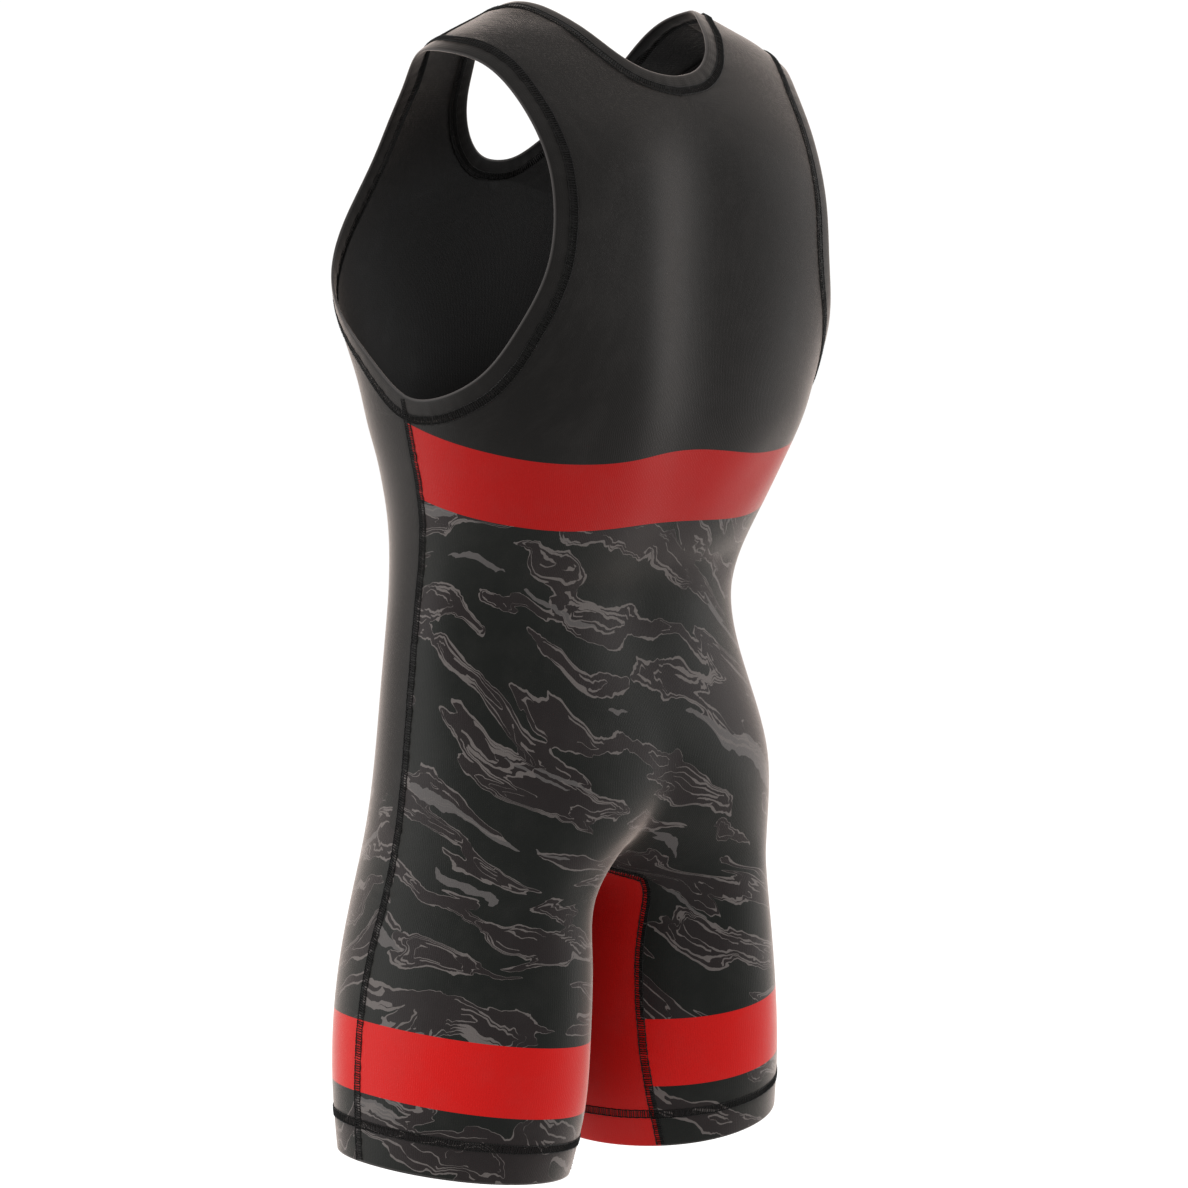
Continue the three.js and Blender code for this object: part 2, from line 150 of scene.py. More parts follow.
for name, place, size, power in zip(*SOFTBOXES.values()):
    turn = (Vector(CHEST) - Vector(place)).to_track_quat("-Z", "Y").to_euler()
    bpy.ops.object.light_add(type="AREA", location=place, rotation=turn)
    lamp = bpy.context.object
    lamp.name = name
    lamp.data.shape = "RECTANGLE"
    lamp.data.size, lamp.data.size_y = size
    lamp.data.energy = power

world = bpy.data.worlds.new("white_studio")
bpy.context.scene.world = world
world.use_nodes = True
fill(world.node_tree, world.node_tree.nodes["Background"], {"Color": (1, 1, 1, 1), "Strength": SKY})
bpy.context.scene.view_settings.view_transform = "Standard"

# %% [markdown]
# All the cloth lies on one form, the shape that the singlet takes when it is worn. Each level slice
# of it is a rounded rectangle, given by a half width, the depths of front, back and side seam, and how
# square it is. Between the slices a natural cubic spline keeps the form smooth. Below the waist each
# half gets a middle of its own, which moves outwards until the halves are two legs.

# %% The form's sizes, in millimetres
SLICES = {
    "z":      (-888, -840, -780, -720, -675, -630, -580, -520, -450, -380, -345, -310, -280, -240,
               -195, -150, -112, -90, -72, -56, -42, -31, -20, -11, -3, 4, 10, 14),
    "width":  (200, 195, 188, 181, 175, 171, 168, 160, 152, 161, 172, 184, 191, 202,
               211, 212, 208, 205, 200, 193, 181, 166, 144, 123, 105, 87, 56, 12),
    "front":  (-116, -131, -137, -133, -127, -122, -119, -122, -121, -117, -117, -118, -119, -121,
               -120, -113, -101, -88, -74, -60, -48, -41, -36, -30, -24, -14, 0, 16),
    "back":   (70, 82, 87, 85, 84, 94, 100, 81, 66, 101, 117, 129, 134, 136,
               137, 138, 132, 122, 111, 101, 92, 84, 75, 64, 53, 45, 40, 34),
    "side":   (-36, -44, -48, -42, -33, -24, -18, -20, -20, -3, 4, 9, 10, 10,
               11, 13, 17, 20, 22, 24, 25, 25, 26, 26, 26, 26, 25, 25),
    "square": (2.05, 2.05, 2.05, 2.05, 2.05, 2.1, 2.2, 2.3, 2.4, 2.45, 2.5, 2.55, 2.65, 2.9,
               3.1, 3.0, 2.7, 2.6, 2.5, 2.35, 2.25, 2.2, 2.2, 2.2, 2.2, 2.2, 2.2, 2.2),
}
LEG_CENTRES = {
    "z": (-888, -840, -780, -720, -675, -630, -580, -520, -450),
    "x": (115, 108, 103, 99, 94.6, 76, 50, 20, 0),
}
GUSSET_EDGE = {
    "z":     (-888, -800, -750, -700, -675, -662),
    "angle": (137, 143, 144, 142, 142, 146),
}
ARMHOLE_LEVEL, WAIST_LEVEL, FORK_TOP = -303, -450, -620
GUSSET_TIP, CROTCH_LEVEL, HEM_LEVEL = -663, -675, -888
ARMHOLE_SAG, SAG_END, SAG_ONSET = 12, -360, 0.6
BODY_HALF_GAP = 14
LEG_SPLAY = math.tan(math.radians(8))
SPLAY_FROM, SPLAY_TO = -640, -800
SPINE_DEPTH, SPINE_WIDTH = 9, 43
SPINE_TOP, SPINE_FOOT = (-60, -130), (-560, -430)
print(len(SLICES["z"]), "slices over", SLICES["z"][-1] - SLICES["z"][0], "mm")

# %% [markdown]
# NumPy works on whole arrays of points at once, so a sheet of ten thousand points takes a moment.
# A point of the form comes from a level and an angle: 0 is the side seam, a quarter turn is the middle
# of the back, and minus a quarter turn is the middle of the front.

# %% The form as functions
HALVINGS, FINE_HALVINGS = 32, 40


def natural_spline(xs, ys):
    """A smooth line through (x, y) pairs with rising x."""
    xs, ys = np.asarray(xs, float), np.asarray(ys, float)
    steps = np.diff(xs)
    system = np.eye(len(xs))
    load = np.zeros(len(xs))
    for i in range(1, len(xs) - 1):
        system[i, i - 1:i + 2] = steps[i - 1], 2 * (steps[i - 1] + steps[i]), steps[i]
        load[i] = 6 * ((ys[i + 1] - ys[i]) / steps[i] - (ys[i] - ys[i - 1]) / steps[i - 1])
    bend = np.linalg.solve(system, load)

    def line(x):
        i = np.clip(np.searchsorted(xs, x) - 1, 0, len(xs) - 2)
        a = (xs[i + 1] - x) / steps[i]
        b = 1 - a
        curve = (a ** 3 - a) * bend[i] + (b ** 3 - b) * bend[i + 1]
        return a * ys[i] + b * ys[i + 1] + curve * steps[i] ** 2 / 6

    return line


slice_at = {name: natural_spline(SLICES["z"], SLICES[name]) for name in SLICES if name != "z"}
leg_centre_line = natural_spline(LEG_CENTRES["z"], LEG_CENTRES["x"])
gusset_line = natural_spline(GUSSET_EDGE["z"], GUSSET_EDGE["angle"])


def ease(start, end, x):
    """0 at start, 1 at end, and smooth between."""
    t = np.clip((x - start) / (end - start), 0, 1)
    return t * t * (3 - 2 * t)


def leg_centre(z):
    return np.where(z > WAIST_LEVEL, 0, np.maximum(leg_centre_line(z), 0))


def lobe_radius(z):
    return np.hypot(slice_at["width"](z), BODY_HALF_GAP) - leg_centre(z)


def splay_lift(x, z):
    return LEG_SPLAY * ease(SPLAY_FROM, SPLAY_TO, z) * (x - leg_centre(z))


def spine_hollow(x, z):
    return SPINE_DEPTH * np.exp(-(x / SPINE_WIDTH) ** 2) * ease(*SPINE_TOP, z) * ease(*SPINE_FOOT, z)


def signed_power(x, power):
    return np.sign(x) * np.abs(x) ** power


def ring_point(z, angle):
    """Points of the wearer's left half, in millimetres, from levels and angles."""
    z, angle = np.broadcast_arrays(np.asarray(z, float), angle)
    power = 2 / slice_at["square"](z)
    side = slice_at["side"](z)
    sin = np.sin(angle)
    reach = leg_centre(z) + lobe_radius(z) * signed_power(np.cos(angle), power)
    x = np.sqrt(np.maximum(reach ** 2 - BODY_HALF_GAP ** 2, 0))
    depth = np.where(sin > 0, slice_at["back"](z) - side, side - slice_at["front"](z))
    hollow = np.where(sin > 0, spine_hollow(x, z) * sin, 0)
    y = side + depth * signed_power(sin, power) - hollow
    return np.stack([x, y, z + splay_lift(x, z)], axis=-1)


def closing_angle(z):
    """Where a slice meets the middle of the body, or closes round the leg."""
    ratio = np.clip((BODY_HALF_GAP - leg_centre(z)) / lobe_radius(z), -1, 1)
    return np.arccos(signed_power(ratio, slice_at["square"](z) / 2))


def parting_level():
    """The level at which the two legs part, found by halving."""
    low, high = GUSSET_EDGE["z"][2], CROTCH_LEVEL
    for _ in range(FINE_HALVINGS):
        middle = (low + high) / 2
        if leg_centre(middle) - lobe_radius(middle) > BODY_HALF_GAP:
            low = middle
        else:
            high = middle
    return low


PARTING_LEVEL = parting_level()


def gusset_angle(z):
    """Where the panels end and the gusset starts."""
    closing = closing_angle(z)
    edge = np.radians(gusset_line(z))
    return np.where(z >= GUSSET_TIP, closing, closing + (edge - closing) * ease(GUSSET_TIP, CROTCH_LEVEL, z))


print("the legs part at level", round(PARTING_LEVEL, 2))

# %% [markdown]
# The same form can be asked the other way round: a field that is negative inside it and positive
# outside. Its slope gives the direction in which the cloth faces, and a search along a ray lays any
# point on it, which is how seams and threads find their place.

# %% The form as a field
CHEST_CENTRE = np.array([0, 10, -230.0])
TRUNK_SEARCH = (0.2, 1.8)
SLOPE_STEP = 0.5
SPLAY_PASSES = 3
TINY = 1e-9


def form_field(points):
    x = np.abs(points[..., 0])
    z = points[..., 2]
    for _ in range(SPLAY_PASSES):
        z = np.minimum(points[..., 2] - splay_lift(x, z), SLICES["z"][-1])
    side = slice_at["side"](z)
    y = points[..., 1]
    y = np.where(y > side, y + spine_hollow(x, z), y)
    depth = np.where(y > side, slice_at["back"](z) - side, side - slice_at["front"](z))
    across = np.abs(np.hypot(x, BODY_HALF_GAP) - leg_centre(z)) / lobe_radius(z)
    square = slice_at["square"](z)
    field = across ** square + (np.abs(y - side) / depth) ** square - 1
    return np.where(points[..., 2] > SLICES["z"][-1], 1, field)


def form_slope(points):
    slopes = []
    for axis in range(3):
        step = np.zeros(3)
        step[axis] = SLOPE_STEP
        slopes.append((form_field(points + step) - form_field(points - step)) / (2 * SLOPE_STEP))
    return np.stack(slopes, axis=-1)


def unit(vectors):
    return vectors / np.maximum(np.linalg.norm(vectors, axis=-1, keepdims=True), TINY)


def form_normal(points):
    return unit(form_slope(points))


def along_onto_form(start, direction, low, high):
    """Slides points along a line until they lie on the form."""
    low = np.full(start.shape[:-1], float(low))
    high = np.full(start.shape[:-1], float(high))
    for _ in range(HALVINGS):
        middle = (low + high) / 2
        inside = form_field(start + direction * middle[..., None]) < 0
        low = np.where(inside, middle, low)
        high = np.where(inside, high, middle)
    return start + direction * low[..., None]


def onto_trunk(points):
    """Out from the chest's centre, or level from the body's middle below it."""
    centre = np.broadcast_to(CHEST_CENTRE, points.shape).copy()
    centre[..., 2] = np.minimum(points[..., 2], CHEST_CENTRE[2])
    return along_onto_form(centre, points - centre, *TRUNK_SEARCH)


print("the field at the chest's centre:", round(float(form_field(CHEST_CENTRE)), 2))

# %% [markdown]
# Two seams are free curves: the armhole and the neckline. Each is a short table of points that a maker
# would chalk on the body, joined by a spline and laid on the form.

# %% Armhole and neck seams
ARMHOLE_SEAM = (
    (188, -8, -294), (187, -36, -266), (181, -75, -227), (169, -95, -196), (151, -101, -165),
    (133, -97, -136), (123, -85, -108), (123, -66, -82), (129, -42, -58), (139, -15, -43),
    (150, 10, -34), (157, 35, -31), (150, 54, -34), (140, 73, -46), (133, 96, -70),
    (128, 120, -110), (128, 129, -155), (134, 124, -205), (149, 110, -246), (167, 89, -281),
    (180, 60, -299), (185, 34, -305),
)
ARMHOLE_SHOULDER = 11
NECK_SEAM = (
    (0, -108, -124), (18, -107, -122), (36, -102, -113), (52, -91, -99), (70, -70, -77),
    (84, -44, -52), (95, -16, -22), (102, 5, -5), (104, 24, -2), (95, 38, -4), (84, 56, -11),
    (73, 74, -24), (56, 92, -42), (30, 101, -61), (0, 103, -69),
)
NECK_SHOULDER = 7
WRAP = 3


def run_along(line):
    """The length from the start of a line to each of its points."""
    return np.concatenate([[0], np.cumsum(np.linalg.norm(np.diff(line, axis=0), axis=1))])


class Seam:
    """A smooth curve on the form through a table of points; a closed one runs round for ever."""

    def __init__(self, rows, closed):
        points = onto_trunk(np.array(rows, float))
        margin = WRAP if closed else 0
        order = np.arange(-margin, len(points) + margin + (1 if closed else 0)) % len(points)
        knots = points[order]
        self.lengths = run_along(knots)
        self.lines = [natural_spline(self.lengths, knots[:, axis]) for axis in range(3)]
        self.margin = margin
        self.end = self.lengths[-1 - margin]

    def mark(self, knot):
        return self.lengths[knot + self.margin]

    def at(self, start, end, steps):
        """Steps + 1 points from one length along the seam to another."""
        lengths = np.linspace(start, end, steps + 1)
        return onto_trunk(np.stack([line(lengths) for line in self.lines], axis=-1))


corner = ring_point(ARMHOLE_LEVEL, 0)
armhole_seam = Seam([corner, *ARMHOLE_SEAM], closed=True)
neck_seam = Seam(NECK_SEAM, closed=False)
print("armhole seam", round(armhole_seam.end - armhole_seam.mark(0)), "mm, half neck seam",
      round(neck_seam.end), "mm")

# %% [markdown]
# The worn cloth isn't quite a machined form. A few soft troughs cross it where it bends or pulls: at the
# small of the back, under the seat, beside the fork and under the arms. Between the shoulder blades it
# lies in a ridge on one side and a shallow trough on the other, and at the waist band it spans the
# hollow of the spine. Each is a straight line in space with a width and a depth, and its ends fade out.
# The function says how far any point of the cloth is pushed.

# %% Creases, in millimetres
CREASES = {
    "start":  ((-120, 60, -432), (-60, 75, -452), (40, 72, -447), (70, 66, -462), (15, 92, -640),
               (-18, 96, -634), (60, -122, -600), (-58, -122, -606), (120, 108, -330), (-118, 110, -326),
               (150, -60, -330), (-152, -60, -322), (110, -80, -446), (-100, -84, -452), (175, -20, -700),
               (-176, -20, -690), (56, 131, -120), (-50, 131, -120), (0, 117, -320)),
    "end":    ((-30, 66, -418), (60, 70, -436), (130, 45, -428), (140, 20, -470), (96, 96, -668),
               (-104, 94, -662), (18, -112, -646), (-16, -112, -650), (60, 120, -390), (-50, 118, -398),
               (100, -116, -370), (-92, -116, -360), (20, -122, -462), (-10, -122, -468), (150, 60, -668),
               (-148, 62, -660), (54, 122, -340), (-50, 122, -340), (0, 60, -450)),
    "width":  (16, 11, 14, 12, 15, 14, 13, 14, 26, 24, 18, 20, 17, 15, 20, 18, 22, 38, 40),
    "depth":  (-2.9, -1.9, -2.7, -1.6, -3.3, -3.0, -2.3, -2.0, -2.0, -1.7, -1.6, -1.8, -1.5, -1.7, -1.3,
               -1.5, 1.5, -2.2, 3.5),
}
FADE = 0.35


def crease_relief(points):
    relief = np.zeros(points.shape[:-1])
    for start, end, width, depth in zip(*CREASES.values()):
        start, end = np.array(start, float), np.array(end, float)
        along = (points - start) @ (end - start) / np.sum((end - start) ** 2)
        nearest = start + np.clip(along, 0, 1)[..., None] * (end - start)
        apart = np.linalg.norm(points - nearest, axis=-1) / width
        fade = ease(-FADE, FADE, along) * ease(1 + FADE, 1 - FADE, along)
        relief += depth * fade * np.exp(-apart ** 2)
    return relief


print(len(CREASES["depth"]), "creases, the deepest", -min(CREASES["depth"]), "mm")

# %% [markdown]
# A sheet starts as a grid primitive with one corner for each worked-out point. Its corners are moved
# onto the form, and its UV map is filled with real distances along the cloth, because a print belongs
# to the cloth and not to the air around it. Where a sheet is cut up to the fork, or joins itself, the
# faces between two columns are deleted in edit mode and equal corners are merged.

# %% Sheets and walls
KNIT = 1.0
MERGE = 0.00002
EDGE_SEGMENTS, SHARP_EDGE, SMOOTH_EDGE = 2, 50, 60
MIRROR_X = np.array([-1, 1, 1])


def sheet_from_grid(name, points, cloth, dropped_columns=(), dropped_rows=(), flip=False):
    """A sheet over rows of points, with its cloth distances in metres as a UV map."""
    rows, columns = points.shape[:2]
    bpy.ops.mesh.primitive_grid_add(x_subdivisions=columns - 1, y_subdivisions=rows - 1)
    piece = bpy.context.object
    piece.name = piece.data.name = name
    mesh = piece.data
    mesh.vertices.foreach_set("co", (points * MM).reshape(-1))
    corners = np.empty(len(mesh.loops), int)
    mesh.loops.foreach_get("vertex_index", corners)
    mesh.uv_layers[0].name = "cloth"
    mesh.uv_layers[0].data.foreach_set("uv", (cloth * MM).reshape(-1, 2)[corners].reshape(-1))
    column = np.arange(len(mesh.polygons)) % (columns - 1)
    row = np.arange(len(mesh.polygons)) // (columns - 1)
    mesh.polygons.foreach_set("select", np.isin(column, dropped_columns) | np.isin(row, dropped_rows))
    bpy.context.tool_settings.mesh_select_mode = (False, False, True)
    bpy.ops.object.mode_set(mode="EDIT")
    bpy.ops.mesh.delete(type="FACE")
    bpy.ops.mesh.select_all(action="SELECT")
    bpy.ops.mesh.remove_doubles(threshold=MERGE)
    bpy.ops.mesh.dissolve_degenerate(threshold=MERGE)
    if flip:
        bpy.ops.mesh.flip_normals()
    bpy.ops.object.mode_set(mode="OBJECT")
    bpy.ops.object.transform_apply(location=True, rotation=True, scale=True)
    return piece


def apply_modifier(piece, kind, **settings):
    """Adds a modifier, sets it and applies it."""
    modifier = piece.modifiers.new(kind.title(), kind)
    for name, value in settings.items():
        setattr(modifier, name, value)
    bpy.context.view_layer.objects.active = piece
    bpy.ops.object.modifier_apply(modifier=modifier.name)


def give_wall(piece, thickness=KNIT, rounding=0.3):
    """Thickens a sheet to both sides; the inner face takes the second of its two material slots."""
    piece.data.materials.append(None)
    piece.data.materials.append(None)
    apply_modifier(piece, "SOLIDIFY", thickness=thickness * MM, offset=0, use_even_offset=True,
                   material_offset=1, material_offset_rim=0)
    apply_modifier(piece, "BEVEL", width=rounding * MM, segments=EDGE_SEGMENTS, limit_method="ANGLE",
                   angle_limit=math.radians(SHARP_EDGE))
    shade_smooth(piece)


def shade_smooth(piece, angle=SMOOTH_EDGE):
    bpy.ops.object.select_all(action="DESELECT")
    piece.select_set(True)
    bpy.context.view_layer.objects.active = piece
    bpy.ops.object.shade_smooth_by_angle(angle=math.radians(angle))
    piece.select_set(False)


print("the walls are", KNIT, "mm thick")

# %% [markdown]
# Front and back are cut alike: from the neckline over the chest, past the armholes and down to both
# hems. Each half is a grid whose rows run from the middle to the side seam or the armhole. At the foot
# the cloth is folded up inside for the hem, so the rows start on the inner layer and turn round it.

# %% Rows of a panel
STRIPS = 58
STRIP_SPREAD = 1.2
ROW_STEP = 4.8
HEM_FOLD = 29
HEM_EDGE = HEM_LEVEL + HEM_FOLD
HEM_STITCH = HEM_EDGE - 1
FOLD_GAP = 1.5
FOLD_ROWS, TURN_ROWS = 8, 5
HEM_STEP = 3.5
STITCH_ZONE, STITCH_STEP = 5, 1.1
FORK_ZONE, FORK_STEP, FORK_CROWDING = 12, 1.0, 2.2
TIP_STEP = 1.6
SEAT_ROWS, SEAT_CROWDING = 18, 1.7
CLOTH_HALF_WIDTH = 265
SAG_ROWS = 14


def hem_levels():
    """Levels and insets of the rows on the hem's inner layer and round its turn."""
    inner = np.linspace(HEM_EDGE, HEM_LEVEL + FOLD_GAP, FOLD_ROWS)
    turn = np.linspace(0, np.pi, TURN_ROWS + 2)[1:-1]
    levels = np.concatenate([inner, HEM_LEVEL + FOLD_GAP / 2 * (1 - np.sin(turn))])
    insets = np.concatenate([np.full(len(inner), FOLD_GAP), FOLD_GAP / 2 * (1 + np.cos(turn))])
    return levels, insets


def spaced(start, end, step, crowding=1.0):
    """Levels from start up to just before end, closer together near the end when crowding is over 1."""
    count = max(int(round(abs(end - start) / step)), 2)
    return end + (start - end) * np.linspace(1, 0, count, endpoint=False) ** crowding


FOLD_LEVELS, FOLD_INSETS = hem_levels()
LEG_LEVELS = np.concatenate([
    spaced(HEM_LEVEL + FOLD_GAP, HEM_EDGE - STITCH_ZONE, HEM_STEP),
    spaced(HEM_EDGE - STITCH_ZONE, HEM_EDGE + STITCH_ZONE, STITCH_STEP),
    spaced(HEM_EDGE + STITCH_ZONE, PARTING_LEVEL - FORK_ZONE, ROW_STEP),
    spaced(PARTING_LEVEL - FORK_ZONE, PARTING_LEVEL, FORK_STEP, FORK_CROWDING),
    spaced(PARTING_LEVEL, GUSSET_TIP, TIP_STEP),
])
BODY_LEVELS = np.concatenate([
    FORK_TOP + (GUSSET_TIP - FORK_TOP) * np.linspace(1, 0, SEAT_ROWS, endpoint=False) ** SEAT_CROWDING,
    spaced(FORK_TOP, ARMHOLE_LEVEL, ROW_STEP),
    [ARMHOLE_LEVEL],
])
LOWER_LEVELS = np.concatenate([FOLD_LEVELS, LEG_LEVELS, BODY_LEVELS])


def arc_shares(points):
    """How far along its row each point lies, from 0 to 1, and each row's length."""
    steps = np.linalg.norm(np.diff(points, axis=1), axis=-1)
    run = np.concatenate([np.zeros((len(points), 1)), np.cumsum(steps, axis=1)], axis=1)
    return run / run[:, -1:], run[:, -1:]


def lower_half(side):
    """Points and levels below the armholes; side is 1 for the back and -1 for the front."""
    spread = np.linspace(0, 1, STRIPS + 1) ** STRIP_SPREAD
    angles = gusset_angle(LOWER_LEVELS)[:, None] * (1 - spread)
    sag = ARMHOLE_SAG * ease(SAG_END, ARMHOLE_LEVEL, LOWER_LEVELS)[:, None] if side > 0 else 0
    levels = LOWER_LEVELS[:, None] - sag * np.sin(2 * np.minimum(angles, np.pi / 2)) ** SAG_ONSET
    points = ring_point(levels, side * angles)
    points[LOWER_LEVELS >= GUSSET_TIP, 0, 0] = 0
    return points, levels


def upper_half(base, seam, neck, centre_rows):
    """Rows above the armhole level, from the middle or the neck seam to the armhole seam."""
    middle, corner = base[0], base[-1]
    across = base[:, 0] / corner[0]
    deep = np.abs((base[:, 1] - corner[1]) / (middle[1] - corner[1]))
    shares = across / (across + deep)
    count = np.arange(1, len(seam))
    climb = np.minimum(count / centre_rows, 1)
    heights = ARMHOLE_LEVEL + (neck[0, 2] - ARMHOLE_LEVEL) * climb
    inner = np.stack([0 * heights, middle[1] + 0 * heights, heights], axis=-1)
    on_neck = count >= centre_rows
    inner[on_neck] = neck[count[on_neck] - centre_rows]
    between = inner[:, None] + (seam[1:] - inner)[:, None] * shares[:, None]
    sag = base[:, 2] - middle[2] - (corner[2] - middle[2]) * shares
    between[..., 2] += np.clip(1 - count / SAG_ROWS, 0, 1)[:, None] * sag
    points = onto_trunk(between)
    points[on_neck, 0] = inner[on_neck]
    return points


print("rows below the armholes:", len(LOWER_LEVELS))

# %% [markdown]
# Sewing tightens the edge of a knit a little, so the cloth ripples along each seam in short waves. The
# waves fade within a centimetre. They come from sums of sines, not from chance, so each run is the same.

# %% Puckers beside the seams
PUCKER = 0.28
PUCKER_REACH = 9
PUCKER_WAVE = 11
PUCKER_SINES = {"share": (1, 0.6, 0.5), "rate": (1, 0.61, 0.37), "start": (0, 1, 4)}
PINCH_DEPTH, PINCH_REACH = 0.45, 2.6


def pucker(apart, along):
    """How far the cloth beside a seam is raised, from the distance to the seam and along it."""
    phase = 2 * np.pi * along / PUCKER_WAVE
    wave = sum(share * np.sin(rate * phase + start) for share, rate, start in zip(*PUCKER_SINES.values()))
    return PUCKER * wave * np.exp(-(apart / PUCKER_REACH) ** 2)


def hem_pinch(levels):
    """The coverstitch draws the hem's two layers together."""
    return -PINCH_DEPTH * np.exp(-((levels - HEM_STITCH) / PINCH_REACH) ** 2)


print("puckers at a seam reach", round(float(np.max(pucker(0, np.arange(0, 300, 0.5)))), 2), "mm")

# %% [markdown]
# Now both panels. The left half is worked out, and the right half is its mirror image with its rows
# turned round, so that one grid holds both. Above the fork the two middle columns meet and merge.

# %% Front and back panels
MIDDLE = 1e-6


def pushed_out(points, relief):
    """Points moved along the form's normals; those in the middle plane stay in it."""
    pushed = points + form_normal(points) * relief[..., None]
    pushed[np.abs(points[..., 0]) < MIDDLE, 0] = 0
    return pushed


def panel(name, side, seam, neck, centre_rows):
    lower, levels = lower_half(side)
    upper = upper_half(lower[-1], seam, neck, centre_rows)
    half = np.concatenate([lower, upper])
    level = np.concatenate([levels, upper[..., 2]])
    shares, lengths = arc_shares(half)
    to_edge = (1 - shares) * lengths
    to_inner = shares * lengths
    sewn_inside = np.ones(len(half), bool)
    sewn_inside[len(FOLD_LEVELS) + len(LEG_LEVELS):len(lower) + centre_rows] = False
    relief = pucker(to_edge, level) + np.where(sewn_inside[:, None], pucker(to_inner, level), 0)
    inset = np.zeros(len(half))
    inset[:len(FOLD_LEVELS)] = FOLD_INSETS
    relief = relief + hem_pinch(level) - inset[:, None]
    level[:len(FOLD_LEVELS)] = 2 * HEM_LEVEL - level[:len(FOLD_LEVELS)]
    cloth = np.stack([shares * CLOTH_HALF_WIDTH, level], axis=-1)

    points = np.concatenate([half[:, ::-1] * MIRROR_X, half], axis=1)
    relief = np.concatenate([relief[:, ::-1], relief], axis=1) + crease_relief(points)
    cloth = np.concatenate([cloth[:, ::-1] * MIRROR_X[:2], cloth], axis=1)
    piece = sheet_from_grid(name, pushed_out(points, relief), cloth, dropped_columns=[STRIPS],
                            flip=side > 0)
    give_wall(piece)
    print(name, len(piece.data.polygons), "faces")
    return piece


FRONT_ROWS, FRONT_CENTRE = 72, 34
BACK_ROWS, BACK_CENTRE = 80, 45
armhole_front = armhole_seam.at(armhole_seam.mark(0), armhole_seam.mark(ARMHOLE_SHOULDER), FRONT_ROWS)
armhole_back = armhole_seam.at(armhole_seam.end, armhole_seam.mark(ARMHOLE_SHOULDER), BACK_ROWS)
neck_front = neck_seam.at(0, neck_seam.mark(NECK_SHOULDER), FRONT_ROWS - FRONT_CENTRE)
neck_back = neck_seam.at(neck_seam.end, neck_seam.mark(NECK_SHOULDER), BACK_ROWS - BACK_CENTRE)
front = panel("front_panel_cloth", -1, armhole_front, neck_front, FRONT_CENTRE)
back = panel("back_panel_cloth", 1, armhole_back, neck_back, BACK_CENTRE)

# %% [markdown]
# The gusset runs from one hem up through the fork and down to the other. Its four quarters are one grid
# with a doubled middle column and a doubled middle row. Where the legs are apart the doubled columns
# meet under each leg's inner side, and where they are joined the doubled rows meet at the middle.

# %% Gusset between the legs
GUSSET_STRIPS = 14


def gusset():
    levels = np.concatenate([FOLD_LEVELS, LEG_LEVELS, [GUSSET_TIP]])
    insets = np.concatenate([FOLD_INSETS, np.zeros(len(LEG_LEVELS) + 1)])
    edge, closing = gusset_angle(levels), closing_angle(levels)
    share = np.linspace(0, 1, GUSSET_STRIPS + 1)
    angles = edge[:, None] + (closing - edge)[:, None] * share
    level = np.broadcast_to(levels[:, None], angles.shape)
    back_quarter, front_quarter = ring_point(level, angles), ring_point(level, -angles)
    for quarter in (back_quarter, front_quarter):
        quarter[levels >= PARTING_LEVEL, -1, 0] = 0
        apart_levels = levels[levels <= PARTING_LEVEL]
        quarter[levels <= PARTING_LEVEL, -1, 1] = slice_at["side"](apart_levels)
    left = np.concatenate([back_quarter, front_quarter[:, ::-1]], axis=1)
    points = np.concatenate([left, left[::-1] * MIRROR_X])
    _, lengths = arc_shares(back_quarter)
    apart = share * lengths
    relief = pucker(apart, level) + hem_pinch(level) - insets[:, None]
    relief = np.concatenate([relief, relief[:, ::-1]], axis=1)
    relief = np.concatenate([relief, relief[::-1]]) + crease_relief(points)
    shown = np.where(insets[:, None] > 0, 2 * HEM_LEVEL - level, level)
    across = np.concatenate([apart, 2 * lengths - apart[:, ::-1]], axis=1)
    shown = np.concatenate([shown, shown], axis=1)
    cloth = np.stack([across, shown], axis=-1)
    cloth = np.concatenate([cloth, cloth[::-1]])
    piece = sheet_from_grid("gusset_cloth", pushed_out(points, relief), cloth,
                            dropped_columns=[GUSSET_STRIPS], dropped_rows=[len(levels) - 1])
    give_wall(piece)
    print("gusset", len(piece.data.polygons), "faces")
    return piece


crotch = gusset()

# %% [markdown]
# A binding is a strip that is folded double, so its outer edge is a soft round fold and its two raw
# edges are flattened together in the seam. The profile below is the middle of that strip in section:
# distance from the seam, and height above the form. It is swept along the seam and then thickened.

# %% Bindings
ARMHOLE_BINDING, NECK_BINDING = 15, 13
BINDING_KNIT = 0.8
PROFILE = {
    "across": (0.0, 0.12, 0.3, 0.5, 0.7, 0.85, 0.93, 0.98, 1.0, 0.98, 0.93, 0.85, 0.7, 0.5, 0.3, 0.12, 0.0),
    "height": (0.45, 0.52, 0.7, 0.82, 0.84, 0.76, 0.62, 0.38, 0.0,
               -0.38, -0.62, -0.76, -0.84, -0.82, -0.7, -0.52, -0.45),
}
ACROSS_STEPS = 4
ACROSS_SEARCH = (-20, 20)
RELAXING = 24
RIPPLE_SHARE, RIPPLE_ENDS = 0.6, 25
INNER_HALF = 1.2


def across_form(line, along, width, turn):
    """Rows of points beside a line, out to a width, all lying on the form."""
    rows = [line]
    for _ in range(ACROSS_STEPS):
        beside = unit(np.cross(form_normal(rows[-1]), along)) * turn
        near = rows[-1] + beside * width / ACROSS_STEPS
        rows.append(along_onto_form(near, form_normal(near), *ACROSS_SEARCH))
    return np.stack(rows, axis=1)


